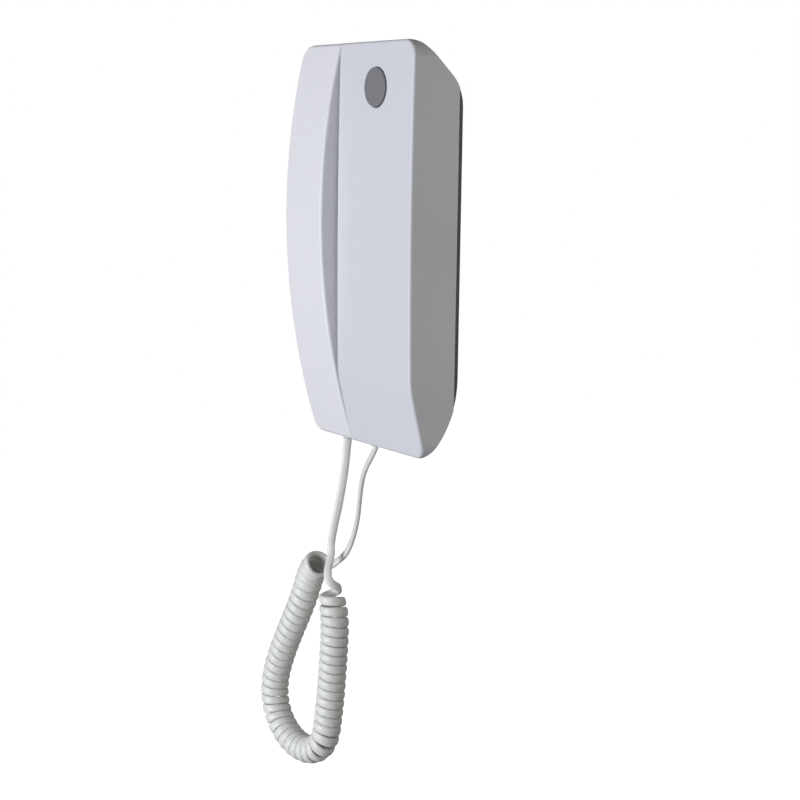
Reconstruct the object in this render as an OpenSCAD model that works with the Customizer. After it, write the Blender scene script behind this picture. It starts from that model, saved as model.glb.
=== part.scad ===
// Wall-mounted audio intercom: a base with a raised face and a call button,
// and a bowed handset that lies on a tray beside the face, on a curly cord.
// Origin midway between the two wall screws, on the wall; +X right, +Y into the wall, +Z up.
// Depths are measured out of the wall, towards -Y. All lengths are in millimetres.

/* [Housing] */
// Overall height
body_h = 200; // [192:1:212]
// Overall width
body_w = 107; // [102:1:112]
// Depth of the raised face at its crown
face_d = 29; // [28.4:0.2:34]
// Radius of the face's lengthwise crown
crown_r = 3600; // [3000:100:9000]
// Height of the crown above the middle
crown_rise = 22; // [0:1:40]
// Height above the bottom edge where the face starts to bend back
bend_rise = 43; // [38:1:60]
// Radius of that bend
bend_r = 60; // [30:5:100]
// Lean of the lower face
bend_angle = 14; // [8:0.5:15]
// Depth of the tray that the handset lies on
tray_d = 11; // [10.5:0.1:13]
// Moulded wall
wall = 2.2; // [1.8:0.1:2.6]
// Rounded edge of the raised face
edge_r = 1.5; // [0.8:0.1:2]
// Top corners, seen from the front
top_corner_r = 8.5; // [4:0.5:10]
// Bottom corners, seen from the front
bottom_corner_r = 7; // [3:0.5:9]
// Lean of the slope behind the top edge
chamfer_angle = 46; // [44:1:50]
// Rounding where that slope meets the wall side
chamfer_foot_r = 21; // [16:0.5:23]
// Rounding where that slope meets the top edge
chamfer_head_r = 8; // [6:0.5:10]
// Radius of the curve behind the bottom edge
heel_r = 52; // [46:1:58]
// Radius of the finger scoop across the tray
scoop_r = 60; // [45:1:90]
// Depth of the finger scoop
scoop_depth = 5; // [3:0.25:5.5]

/* [Wall plate] */
// Thickness of the plate
plate_t = 2.3; // [2:0.1:2.6]
// Step from the cover's side to the plate's edge
plate_inset = 0.5; // [0.4:0.1:1.5]
// Distance between the two wall screws
screw_spacing = 83.5; // [80:0.5:88]
// Wall screw holes
screw_hole_d = 4.5; // [4:0.1:5]
// Hole for the cable out of the wall
cable_hole_d = 16; // [12:0.5:18]
// Height of the upper snap tabs
tab_top = 46; // [30:1:60]
// Depth below the middle of the lower snap tabs
tab_bottom = 52; // [30:1:56]
// Length of a snap tab
tab_len = 10; // [6:0.5:14]
// Thickness of a snap tab
tab_t = 1.6; // [1.2:0.1:2]
// How far a snap tab stands off the plate
tab_h = 4.6; // [4:0.1:5]
// Catch of a snap tab in the cover's wall
tab_catch = 0.6; // [0.4:0.1:0.9]

/* [Handset] */
// Width of the handset
grip_w = 36.8; // [35:0.2:40]
// Gap between the handset and the raised face
seam = 1; // [0.6:0.1:1.6]
// Depth of the handset's bow at its crest
bow_d = 37.8; // [37.4:0.2:42]
// Height of the crest above the middle
bow_rise = 16; // [5:1:25]
// Radius of the bow above the crest
bow_top_r = 340; // [330:2:440]
// Radius of the bow below the crest
bow_bottom_r = 354; // [348:1:420]
// Rounded edge of the handset's front
grip_edge_r = 1.6; // [0.8:0.1:2]
// Rounded edge of the handset's back
back_edge_r = 2; // [1:0.25:3]
// Depth of the back of the grip
waist_d = 20.5; // [18:0.25:22]
// Drop from the top edge to the grip's upper end
waist_drop = 64; // [62:1:70]
// Rise from the bottom edge to the grip's lower end
waist_rise = 60; // [56:1:66]
// Length of the slopes from the grip to the two cups
waist_ramp = 18; // [14:1:22]
// Height of the back shell's sides
back_h = 4; // [3.5:0.1:4.5]
// Distance of the handset screws from the middle
grip_screw_z = 22; // [12:1:26]
// Drop from the top edge to the middle of the earpiece
ear_drop = 30; // [29:0.5:33]
// Diameter of the earpiece capsule
ear_d = 26; // [22:0.5:27]
// Thickness of the earpiece capsule
ear_t = 9; // [6:0.5:11]
// Thickness of the earpiece gasket
gasket_t = 1; // [0.8:0.1:1.5]
// Rise from the bottom edge to the middle of the microphone
mic_rise = 25; // [22:0.5:28]
// Diameter of the microphone capsule
mic_d = 9.7; // [6:0.1:10.5]
// Thickness of the microphone capsule
mic_t = 6.7; // [5:0.1:7]
// Wall of the microphone's rubber boot
boot_wall = 1.4; // [1:0.1:1.8]

/* [Call button] */
// Diameter of the button
button_d = 19; // [16:0.5:22]
// Distance of the button from the right side
button_inset = 33.5; // [30:0.5:36]
// Drop from the top edge to the middle of the button
button_drop = 22; // [19:0.5:26]
// How far the button stands proud of the face
button_proud = 1.3; // [0.8:0.1:2]
// Travel of the button
button_travel = 1.2; // [0.6:0.1:1.2]
// Gap round the button
button_gap = 0.3; // [0.2:0.05:0.5]

/* [Hook] */
// Drop from the top edge to the middle of the hook lever
hook_drop = 42; // [40:0.5:46]
// Width of the lever
hook_w = 10; // [7:0.5:11]
// Distance of the pivot pin to the right of the tray's edge
pivot_in = 3.5; // [3:0.1:5]
// Reach from the pivot to the middle of the lever's nose
hook_reach = 20; // [17:0.5:22]
// Diameter of the pivot pin
pin_d = 2; // [1.6:0.1:2.2]
// Swing of the lever when the handset is lifted
hook_swing = 7; // [4:0.5:7]

/* [Circuit] */
// Depth of the circuit board's rear face
board_d = 12; // [11.5:0.1:13]
// Thickness of the board
board_t = 1.6; // [1:0.1:2]
// Distance of the board's right edge from the right side
board_inset = 4.5; // [3.5:0.5:8]
// Width of the lower board
board_w = 36; // [35:0.5:37]
// Drop from the top edge to the board's top
board_drop = 15; // [14:0.5:17]
// Depth below the middle of the board's lower end
board_bottom = 34; // [30:1:37]
// Diameter of the call sounder
sounder_d = 24; // [18:0.5:28]
// Thickness of the call sounder
sounder_t = 9; // [6:0.5:11]
// Number of ways of the terminal block
ways = 6; // [3:1:6]
// Pitch of the terminals
way_pitch = 5; // [4:0.1:5.2]

/* [Cord] */
// Width of the flat cord
cord_w = 4.2; // [3.4:0.1:4.3]
// Thickness of the flat cord
cord_t = 2.6; // [2:0.1:3]
// Outer diameter of the curls
coil_d = 15.2; // [14.4:0.1:15.6]
// Pitch of the curls on a straight stretch
coil_pitch = 4.9; // [4.85:0.05:5.3]

/* [Fits] */
// Gap between the handset and the tray
rest_gap = 0.3; // [0.2:0.05:0.5]
// Running clearance on the radius of pins and plungers
run_fit = 0.05; // [0.03:0.01:0.1]
// Clearance between parts that are set in place
set_fit = 0.2; // [0.1:0.05:0.3]
// Parting line between the two handset shells
part_gap = 0.1; // [0.05:0.05:0.2]

/* [Hidden] */
$fn = 48;

// Small fixed details of the mouldings and bought parts
land = 0.3;
over = 1;
edge_steps = 4;
tip_fill = 4.5;
head_play = 0.5;
button_flange = 1.5;
flange_t = 1.2;
rib_t = 1.6;
rib_w = 8;
rib_h = 3.5;
stem_d = 4.5;
switch_w = 12;
switch_t = 4;
plunger_d = 3.5;
plunger_seat = 1.5;
plunger_h = 2.2;
hook_switch_w = 8;
hook_switch_h = 10;
hook_switch_t = 4;
hook_plunger_d = 2.4;
hook_travel = 1;
hub_wall = 1.5;
pivot_lift = 3.7;
ear_wall = 2.6;
nose_r = 3;
arm_t = 2;
spring_t = 0.4;
post_d = 6;
board_screw_d = 2.4;
board_head_d = 4.6;
board_head_t = 1.8;
block_z = 9;
block_d = 10;
grip_screw_d = 2.9;
grip_head_d = 5;
grip_head_t = 1.6;
grip_boss_d = 7;
relief_d = 4.8;
relief_flange_d = 6;
relief_flange_t = 1.2;
relief_len = 13;
relief_out = 1;
sound_hole_d = 1.8;
switch_reach = 9;
board_gap = 1.5;
post_in = 4.5;
post_gap = 0.8;
slot_gap = 0.6;
slot_swing = 1.5;
grille_step = 3.7;
thin_edge = 0.8;
tray_edge_r = 0.8;
way_hole = 3.6;

// Main planes and heights
z_top = body_h/2;
z_bot = -body_h/2;
right_x = body_w/2;
left_x = -body_w/2;
grip_right_x = left_x + grip_w;
face_x = grip_right_x + seam;
waist_top = z_top - waist_drop;
waist_bottom = z_bot + waist_rise;
grip_x = (left_x + grip_right_x)/2;
rest_d = tray_d + rest_gap;
split_d = rest_d + back_h;
crown_z = crown_rise;
bend_z = z_bot + bend_rise;
bow_z = bow_rise;

// Drop of a circle of radius r at the distance t from its crest
function sag(r, t) = r - sqrt(max(0, r*r - t*t));

// Depth of the raised face: a shallow crown, a bend and a straight slope
function face_depth(z) =
    let (run = bend_r*sin(bend_angle), t = bend_z - z)
    face_d - sag(crown_r, max(z, bend_z) - crown_z)
        - (t <= 0 ? 0 : t < run ? sag(bend_r, t) : sag(bend_r, run) + (t - run)*tan(bend_angle));

// Depth of the handset's bowed front
function bow_depth(z) = bow_d - sag(z > bow_z ? bow_top_r : bow_bottom_r, z - bow_z);

// The slope behind the top edge and the heel behind the bottom edge end just short of the face
head_d = face_depth(z_top) - edge_r - land;
head_z = z_top - chamfer_head_r;
head_end_d = head_d - chamfer_head_r*cos(chamfer_angle);
head_end_z = head_z + chamfer_head_r*sin(chamfer_angle);
foot_end_d = chamfer_foot_r*(1 - cos(chamfer_angle));
foot_end_z = head_end_z - (head_end_d - foot_end_d)/tan(chamfer_angle);
foot_z = foot_end_z - chamfer_foot_r*sin(chamfer_angle);
heel_end_d = face_depth(z_bot) - edge_r - land;
heel_z = z_bot + sqrt(heel_r*heel_r - pow(heel_r - heel_end_d, 2));

// Depth of the rear outline, drawn in by w
function rear_depth(z, w = 0) =
    let (foot = chamfer_foot_r - w, head = chamfer_head_r - w)
    z < heel_z ? heel_r - sqrt(max(0, pow(heel_r - w, 2) - pow(heel_z - z, 2)))
    : z < foot_z ? w
    : z < foot_z + foot*sin(chamfer_angle) ? chamfer_foot_r - sqrt(foot*foot - pow(z - foot_z, 2))
    : z < head_z + head*sin(chamfer_angle) ? slope_depth(z, w)
    : head_d - sqrt(max(0, head*head - pow(z - head_z, 2)));
function slope_depth(z, w) =
    let (foot = chamfer_foot_r - w)
    chamfer_foot_r - foot*cos(chamfer_angle)
        + (z - foot_z - foot*sin(chamfer_angle))*tan(chamfer_angle);

// Heights at which that outline passes the depth d
function rear_top(d, w = 0) =
    let (foot = chamfer_foot_r - w)
    foot_z + foot*sin(chamfer_angle) + (d - chamfer_foot_r + foot*cos(chamfer_angle))/tan(chamfer_angle);
function rear_bottom(d, w = 0) = heel_z - sqrt(pow(heel_r - w, 2) - pow(heel_r - d, 2));
function foot_rise(d) = foot_z + sqrt(pow(chamfer_foot_r, 2) - pow(chamfer_foot_r - d, 2));

// Upper end of the cover's open back, a little up the rounding of the slope's foot
open_top = foot_z + chamfer_foot_r*sin(chamfer_angle/4);

// How far a rounded corner draws an edge in at the height z
function corner_in(z, top_r, bottom_r) =
    z > z_top - top_r ? sag(top_r, z - z_top + top_r)
    : z < z_bot + bottom_r ? sag(bottom_r, z_bot + bottom_r - z)
    : 0;

// Back of the handset: flat at the cups, raised along the grip
function ease(t) = let (c = min(1, max(0, t))) (1 - cos(180*c))/2;
function grip_share(z) =
    ease((waist_top + waist_ramp - z)/waist_ramp)*ease((z - waist_bottom + waist_ramp)/waist_ramp);
function back_depth(z) = rest_d + (waist_d - rest_d)*grip_share(z);
function split_depth(z) = back_depth(z) + back_h;
function scoop(z) = max(0, scoop_depth - sag(scoop_r, z));

// Heights for the sections, crowded towards the two ends
function crowd(a, b, n) = [for (i = [0:n]) a + (b - a)*pow(i/n, 2)];
function inner(a, b, n) = [for (i = [1:n - 1]) a + (b - a)*i/n];
function turned(v) = [for (i = [len(v) - 1:-1:0]) v[i]];
function heights(lo, hi, n, m) =
    concat(crowd(lo, heel_z, n), inner(heel_z, foot_z, m), turned(crowd(hi, foot_z, n)));

// Heights for the handset's two shells, which share those along the grip and its two slopes
function even(a, b, n) = [for (i = [0:n]) a + (b - a)*i/n];
grip_zs = concat(even(waist_bottom - waist_ramp, waist_bottom, 7), inner(waist_bottom, waist_top, 8),
                 even(waist_top, waist_top + waist_ramp, 7), [(waist_top + waist_ramp + foot_z)/2]);
function grip_heights(lo, hi, n) = concat(crowd(lo, heel_z, n), grip_zs, turned(crowd(hi, foot_z, n)));

// One section at the height z, from depth d0 to d1, with its front edges rounded
function section(z, x0, x1, d0, d1, r) = concat(
    [[x0, -d0, z]],
    [for (i = [0:edge_steps]) let (a = 90*i/edge_steps) [x0 + r*(1 - cos(a)), -d1 + r*(1 - sin(a)), z]],
    [for (i = [edge_steps:-1:0]) let (a = 90*i/edge_steps) [x1 - r*(1 - cos(a)), -d1 + r*(1 - sin(a)), z]],
    [[x1, -d0, z]]);
// The same section with its rear edges rounded
function rear_section(z, x0, x1, d0, d1, r) =
    [for (p = turned(section(z, x0, x1, -d1, -d0, r))) [p[0], -p[1], z]];

// Solid through a stack of sections
module loft(rings) {
    n = len(rings[0]);
    m = len(rings);
    sides = [for (k = [0:m - 2], i = [0:n - 1])
        let (a = k*n + i, b = k*n + (i + 1)%n)
        each [[a, a + n, b + n], [a, b + n, b]]];
    foot = [for (i = [0:n - 1]) i];
    head = [for (i = [n - 1:-1:0]) (m - 1)*n + i];
    polyhedron(points = [for (r = rings) each r], faces = concat([foot, head], sides));
}

// Places a shape drawn in x and z at the depth d, growing out of the wall
module out(x, d, z) {
    translate([x, -d, z]) rotate([90, 0, 0]) children();
}

// Stretches a profile drawn in depth and height from x0 to x1
module across(x0, x1) {
    translate([x1, 0, 0]) rotate([90, 0, -90]) linear_extrude(x1 - x0) children();
}

module block(x0, x1, d0, d1, z0, z1) {
    translate([x0, -d1, z0]) cube([x1 - x0, d1 - d0, z1 - z0]);
}

module ring(outer, hole, h) {
    difference() {
        cylinder(d = outer, h = h);
        translate([0, 0, -over]) cylinder(d = hole, h = h + 2*over);
    }
}

// A hollow between a rear curve and a front curve
module hollow(zs, rear, front) {
    polygon(concat([for (i = [0:len(zs) - 1]) [rear[i], zs[i]]],
                   [for (i = [len(zs) - 1:-1:0]) [front[i], zs[i]]]));
}

// Hook lever
hook_z = z_top - hook_drop;
pivot_x = face_x + pivot_in;
pivot_d = plate_t + pivot_lift;
hub_r = pin_d/2 + hub_wall;
nose_x = pivot_x - hook_reach;
nose_top = rest_d - rest_gap;
arm_low = pivot_d - hub_r;
hook_switch_x = pivot_x + switch_reach;
hook_contact_d = pivot_d + arm_t/2;

// Circuit board
board_right = right_x - board_inset;
board_left = board_right - board_w;
board_front = board_d + board_t;
board_top = z_top - board_drop;
tongue_left = face_x + wall + board_gap;
tongue_low = hook_z - hook_w + over;
posts = [
    [board_right - post_in, open_top - post_d/2 - post_gap],
    [tongue_left + post_in, open_top - post_d/2 - post_gap],
    [board_right - post_in, -board_bottom + post_in],
    [board_left + post_in, -board_bottom + post_in]
];

// Call button and its switch
button_x = right_x - button_inset;
button_z = z_top - button_drop;
button_face = face_depth(button_z);
flange_top = button_face - wall - rest_gap;
guide_d = button_d + 2*(button_flange + button_gap);
stem_end = board_front + switch_t + plunger_h;

// Handset fittings
ear_z = z_top - ear_drop;
mic_z = z_bot + mic_rise;
shell_floor = rest_d + wall;
boot_d = mic_d + 2*boot_wall;
grip_screws = [grip_screw_z, -grip_screw_z];
pad_h = grip_head_t + set_fit + wall;

// Cord outlets, and the points that the cord follows below them
grip_cord = [-25.5, 15.2];
base_cord = [1, 14.2];
cord_top = z_bot - relief_out;
grip_lead = [[-26.3, -15.2, -105.7], [-27, -15.3, -111], [-28, -15.8, -119.7], [-29.4, -16.5, -128.9],
             [-30.7, -17.5, -138.1], [-32.4, -18.7, -147.3], [-33.1, -20, -156], [-31.8, -21.2, -164.3]];
base_lead = [[-0.5, -14.2, -103.7], [-3.8, -14.2, -107.9], [-7.5, -14.2, -112.4], [-11.2, -14.2, -118.3],
             [-13.7, -14, -125.3], [-15.6, -13.7, -133.1], [-17.5, -13.4, -140.9], [-20.7, -13.2, -149.4],
             [-25.2, -13, -157.3], [-31.4, -12.9, -164.3]];
coil_route = [[-30, -21.9, -172.3], [-27.7, -22, -182.6], [-25.6, -22, -194.5], [-25.7, -22, -209.7],
              [-27.3, -22, -225.3], [-29, -22.2, -240.5], [-31.2, -22.8, -255.3], [-34.3, -23.8, -266.3],
              [-44.2, -25, -273.3], [-57, -26.4, -273.5], [-68.7, -27.6, -268.4], [-76.4, -28.4, -259.7],
              [-79.1, -28.8, -248.1], [-77.1, -28.2, -235.7], [-70.7, -26.8, -220.1], [-62.4, -24.8, -203.8],
              [-56.1, -22.4, -188.8], [-52.6, -20.6, -179.5], [-45.8, -19, -171.6], [-41.4, -18.2, -167.8]];
coil_plane = [0.3, -0.95, 0];
coil_r = (coil_d - cord_t)/2;
coil_sides = 6;
curl_rings = 8;
lead_sides = 8;
axis_steps = 16;
flare_len = 12;
bend_in_len = 3;
last_angle = 30;

function unit(v) = v/norm(v);

// Point of a smooth curve through the route's points, at the place u counted in points
function on_route(route, u) =
    let (n = len(route) - 1, i = min(floor(u), n - 1), t = u - i,
         a = route[max(i - 1, 0)], b = route[i], c = route[i + 1], d = route[min(i + 2, n)])
    0.5*(2*b + (c - a)*t + (2*a - 5*b + 4*c - d)*t*t + (3*b - a - 3*c + d)*t*t*t);

// Middle line of the coil in small steps: points, directions, lengths and the turns wound so far
coil_n = axis_steps*(len(coil_route) - 1);
axis_p = [for (k = [0:coil_n]) on_route(coil_route, k/axis_steps)];
axis_t = [for (k = [0:coil_n]) unit(axis_p[min(k + 1, coil_n)] - axis_p[max(k - 1, 0)])];
axis_ds = [for (k = [0:coil_n - 1]) norm(axis_p[k + 1] - axis_p[k])];
axis_s = [for (k = 0, s = 0; k <= coil_n; s = s + (k < coil_n ? axis_ds[k] : 0), k = k + 1) s];
coil_len = axis_s[coil_n];
function bend_at(k) = norm(axis_t[min(k + 2, coil_n)] - axis_t[max(k - 2, 0)])
    / (axis_s[min(k + 2, coil_n)] - axis_s[max(k - 2, 0)]);
function wind_share(s) = ease((s - cord_w)/flare_len)*min(1, max(0, (coil_len - cord_w - s)/bend_in_len));
function turn_rate(k) = 360*wind_share(axis_s[k])*(1 - coil_r*bend_at(k))/coil_pitch;
coil_turn = [for (k = 0, a = 0; k <= coil_n;
                  a = a + (k < coil_n ? turn_rate(k)*axis_ds[k] : 0), k = k + 1) a];
turn_to_step = [for (k = [0:coil_n]) [coil_turn[k], k]];
length_to_step = [for (k = [0:coil_n]) [axis_s[k], k]];
step_to_turn = [for (k = [0:coil_n]) [k, coil_turn[k]]];
step_to_length = [for (k = [0:coil_n]) [k, axis_s[k]]];

// Direction out of the coil at the step k, and the middle of the cord there: it flares out of the
// handset lead and leaves along the axis
function curl_out(k) =
    let (t = axis_t[round(k)], n = unit(cross(t, coil_plane)),
         a = lookup(k, step_to_turn) - last_wound + last_angle)
    cos(a)*n + sin(a)*cross(t, n);
function curl_point(k) =
    on_route(coil_route, k/axis_steps)
        + coil_r*ease((lookup(k, step_to_length) - cord_w)/flare_len)*curl_out(k);
last_wound = coil_turn[coil_n];
curl_count = floor(last_wound*curl_rings/360);
lead_in = lookup(cord_w, length_to_step);
lead_out = lookup(coil_len - cord_w, length_to_step);
curl_steps = concat([0, lead_in],
    [for (i = [1:curl_count - 1]) lookup(i*360/curl_rings, turn_to_step)], [lead_out, coil_n]);
curl_path = [for (k = curl_steps) curl_point(k)];
curl_flat = [for (k = curl_steps) curl_out(k)];

// Flat cord with n sides along a path: flat gives the thin way of each section, and the end faces
// stand square to the given end directions
function tube_dir(path, i, first, last) =
    let (m = len(path) - 1)
    i == 0 ? first : i == m ? last : unit(unit(path[i + 1] - path[i]) + unit(path[i] - path[i - 1]));
module tube(path, flat, n, first, last) {
    rings = [for (i = [0:len(path) - 1])
        let (t = tube_dir(path, i, first, last), e = unit(cross(flat[i], t)), f = cross(t, e))
        [for (j = [0:n - 1]) path[i] + cord_w/2*cos(360*j/n)*e + cord_t/2*sin(360*j/n)*f]];
    loft(rings);
}

module wall_plate() {
    color("dimgray") difference() {
        union() {
            tip_d = plate_t - land;
            plate_zs = concat(crowd(rear_bottom(tip_d), heel_z, 6), [foot_z],
                              turned(crowd(foot_rise(tip_d), foot_z + land, 6)));
            across(left_x + plate_inset, right_x - plate_inset)
                hollow(plate_zs, [for (z = plate_zs) rear_depth(z)], [for (z = plate_zs) plate_t]);
            for (p = posts) out(p[0], plate_t - land, p[1])
                cylinder(d = post_d, h = board_d - plate_t + land);
            for (s = [-1, 1]) pin_ear(s);
            for (s = [-1, 1], z = [tab_top, -tab_bottom]) snap_tab(s, z);
        }
        for (s = [-1, 1]) out(0, -over, s*screw_spacing/2) cylinder(d = screw_hole_d, h = plate_t + 2*over);
        out(0, -over, 0) cylinder(d = cable_hole_d, h = plate_t + 2*over);
        for (p = posts) out(p[0], plate_t, p[1]) cylinder(d = board_screw_d, h = board_d);
        translate([pivot_x, -pivot_d, hook_z - hook_w]) cylinder(r = pin_d/2 + run_fit, h = 2*hook_w);
    }
}

// Upright ear that holds one end of the pivot pin
module pin_ear(side) {
    near = hook_w/2 + set_fit;
    z0 = side > 0 ? hook_z + near : hook_z - near - ear_wall;
    block(pivot_x - hub_r, pivot_x + hub_r, plate_t - land, pivot_d, z0, z0 + ear_wall);
    translate([pivot_x, -pivot_d, z0]) cylinder(r = hub_r, h = ear_wall);
}

// Springy tab at one side of the plate, with a catch that grips the cover's wall
module snap_tab(side, z) {
    x = right_x - wall - set_fit;
    mirror([side < 0 ? 1 : 0, 0, 0]) {
        block(x - tab_t, x, plate_t - land, plate_t + tab_h, z - tab_len/2, z + tab_len/2);
        translate([x, 0, z - tab_len/2]) linear_extrude(tab_len)
            translate([0, -plate_t - tab_h])
                polygon([[-tab_t/2, 0], [0, 0], [tab_catch, tab_catch], [0, 2*tab_catch],
                         [-tab_t/2, 2*tab_catch]]);
    }
}

// Half width of the body at the height z, and the heights that the housing and the tray share
function side_at(z) = right_x - corner_in(z, top_corner_r, bottom_corner_r);
tray_low = rear_bottom(tray_d - land);
tray_high = rear_top(tray_d - land);
body_zs = heights(z_bot, z_top, 12, 12);
tray_zs = concat([tray_low],
    [for (z = body_zs) if (z > tray_low + land && z < tray_high - land) z], [tray_high]);

// The raised housing beside the handset
module housing_form() {
    zs = concat([for (z = body_zs) if (z < tray_low - land) z], tray_zs,
                [for (z = body_zs) if (z > tray_high + land) z]);
    loft([for (z = zs)
        let (rear = max(plate_t, rear_depth(z)), front = face_depth(z) - corner_in(z, edge_r, edge_r))
        section(z, face_x, side_at(z), rear, front, min(edge_r, (front - rear)*thin_edge))]);
}

// The tray under the handset: thin at both ends, where the rear outline runs out to it
module tray_form() {
    loft([for (z = tray_zs)
        let (rear = max(plate_t, rear_depth(z)))
        section(z, -side_at(z), face_x, rear, tray_d, min(tray_edge_r, (tray_d - rear)*thin_edge))]);
}

module base_cover() {
    color("white") difference() {
        union() {
            difference() {
                union() {
                    housing_form();
                    tray_form();
                }
                finger_scoop();
                face_hollow();
                tray_hollow();
                block(left_x + wall, right_x - wall, plate_t - over, plate_t + over, heel_z, open_top);
            }
            for (a = [45:90:315]) out(button_x, button_face - wall - rib_h, button_z) rotate(a)
                translate([guide_d/2, -rib_w/2, 0]) cube([rib_t, rib_w, rib_h + land]);
        }
        out(button_x, button_face - wall - over, button_z)
            cylinder(r = button_d/2 + button_gap, h = wall + 3*over);
        block(nose_x - nose_r - slot_gap, nose_x + nose_r + slot_swing, plate_t + over, tray_d + over,
              hook_z - hook_w/2 - set_fit, hook_z + hook_w/2 + set_fit);
        translate([base_cord[0], -base_cord[1], z_bot - over])
            cylinder(r = relief_d/2 + run_fit, h = 2*relief_len);
        for (s = [-1, 1], z = [tab_top, -tab_bottom]) tab_groove(s, z);
    }
}

module finger_scoop() {
    translate([left_x - over, -(tray_d + scoop_r - scoop_depth), 0]) rotate([0, 90, 0])
        cylinder(r = scoop_r, h = face_x - left_x + over);
}

module face_hollow() {
    zs = heights(z_bot + tip_fill, z_top - wall - head_play, 8, 8);
    across(face_x + wall, right_x - wall)
        hollow(zs, [for (z = zs) rear_depth(z, wall)], [for (z = zs) face_depth(z) - wall]);
}

module tray_hollow() {
    skin = tray_d - wall;
    zs = heights(rear_bottom(skin, wall) + over, rear_top(skin, wall) - over, 6, 16);
    across(left_x + wall, face_x + wall + over)
        hollow(zs, [for (z = zs) rear_depth(z, wall) - land], [for (z = zs) skin - scoop(z)]);
}

module tab_groove(side, z) {
    x = right_x - wall;
    mirror([side < 0 ? 1 : 0, 0, 0])
        block(x - over, x + tab_catch, plate_t + tab_h - 2*tab_catch - set_fit, plate_t + tab_h + set_fit,
              z - tab_len/2 - set_fit, z + tab_len/2 + set_fit);
}

module circuit_board() {
    color("seagreen") difference() {
        out(0, board_d, 0) linear_extrude(board_t)
            polygon([[board_left, -board_bottom], [board_right, -board_bottom], [board_right, board_top],
                     [tongue_left, board_top], [tongue_left, tongue_low], [board_left, tongue_low]]);
        for (p = posts) out(p[0], board_d - over, p[1])
            cylinder(d = board_screw_d + 2*set_fit, h = board_t + 2*over);
    }
}

module board_screws() {
    color("silver") for (p = posts) out(p[0], board_front, p[1]) {
        difference() {
            cylinder(d = board_head_d, h = board_head_t);
            translate([-board_head_d/2, -land, board_head_t/2]) cube([board_head_d, 2*land, board_head_t]);
        }
        translate([0, 0, -board_d/2]) cylinder(r = board_screw_d/2 - run_fit, h = board_d/2);
    }
}

// Places children at each way of the terminal block
module each_way() {
    for (i = [0:ways - 1]) translate([(i - (ways - 1)/2)*way_pitch, 0, 0]) children();
}
block_x = board_left + board_w/2;
block_mid = -board_bottom + 2*post_in + block_z/2;

module terminal_block() {
    color("teal") difference() {
        out(block_x, board_front, block_mid) translate([-ways*way_pitch/2, -block_z/2, 0])
            cube([ways*way_pitch, block_z, block_d]);
        out(block_x, board_front, block_mid) each_way()
            translate([0, 0, block_d/2]) cylinder(d = way_hole, h = block_d);
        translate([block_x, -board_front - block_d/4, block_mid - block_z/2 - over]) each_way()
            cylinder(d = way_hole - 1, h = block_z/2 + over);
    }
}

module terminal_screws() {
    color("silver") out(block_x, board_front + block_d/2, block_mid) each_way() difference() {
        cylinder(r = way_hole/2 - run_fit, h = block_d/4);
        translate([-way_hole/2, -land, block_d/8]) cube([way_hole, 2*land, block_d]);
    }
}

module call_sounder() {
    color("black") out(block_x, board_front, (board_top - board_bottom)/2 - board_bottom/4) difference() {
        cylinder(d = sounder_d, h = sounder_t);
        translate([0, 0, sounder_t/2]) cylinder(d = sounder_d/6, h = sounder_t);
        translate([0, 0, sounder_t - land]) ring(sounder_d - 2*edge_r, sounder_d - 4*edge_r, 2*land);
    }
}

module door_switch_body() {
    bore = plunger_seat + button_travel + land;
    color("dimgray") difference() {
        out(button_x, board_front, button_z) translate([-switch_w/2, -switch_w/2, 0])
            cube([switch_w, switch_w, switch_t]);
        out(button_x, board_front + switch_t - bore, button_z)
            cylinder(r = plunger_d/2 + run_fit, h = switch_t);
    }
}

module door_switch_plunger() {
    color("white") out(button_x, board_front + switch_t - plunger_seat, button_z)
        cylinder(d = plunger_d, h = plunger_h + plunger_seat - run_fit);
}

// Round push button: a low dome, a flange that keeps it in the cover and a stem
module call_button() {
    r = button_d/2;
    top = button_face + button_proud;
    dome = button_proud/2;
    low = flange_top - flange_t;
    color("gray") out(button_x, 0, button_z) rotate_extrude() polygon(concat(
        [[0, stem_end], [stem_d/2, stem_end], [stem_d/2, low], [r + button_flange, low],
         [r + button_flange, flange_top], [r, flange_top]],
        [for (a = [0:15:90]) [r - dome*(1 - cos(a)), top - dome - dome*(1 - sin(a))]],
        [for (i = [1:5]) let (q = (r - dome)*(1 - i/5)) [q, top - dome*pow(q/(r - dome), 2)]]));
}

module hook_switch_body() {
    color("black") difference() {
        block(hook_switch_x - hook_switch_w/2, hook_switch_x + hook_switch_w/2,
              board_d - hook_switch_t, board_d, hook_z - hook_switch_h/2, hook_z + hook_switch_h/2);
        out(hook_switch_x, board_d - hook_switch_t - over, hook_z)
            cylinder(r = hook_plunger_d/2 + run_fit, h = hook_switch_t);
    }
}

module hook_switch_plunger() {
    d0 = hook_contact_d + run_fit;
    color("white") out(hook_switch_x, d0, hook_z)
        cylinder(d = hook_plunger_d, h = board_d - hook_switch_t + hook_travel + land - d0);
}

// Two-armed lever: its nose comes up through the tray, its short arm works the switch
module hook_lever() {
    color("ivory") translate([0, 0, hook_z - hook_w/2]) linear_extrude(hook_w) difference() {
        union() {
            translate([pivot_x, -pivot_d]) circle(r = hub_r);
            translate([nose_x - nose_r, -arm_low - arm_t]) square([pivot_x - nose_x + nose_r, arm_t]);
            translate([nose_x - nose_r, -nose_top + nose_r])
                square([2*nose_r, nose_top - nose_r - arm_low]);
            translate([nose_x, -nose_top + nose_r]) circle(r = nose_r);
            translate([pivot_x, -hook_contact_d]) square([hook_switch_x + hook_plunger_d - pivot_x, arm_t]);
        }
        translate([pivot_x, -pivot_d]) circle(r = pin_d/2 + run_fit);
    }
}

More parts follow.
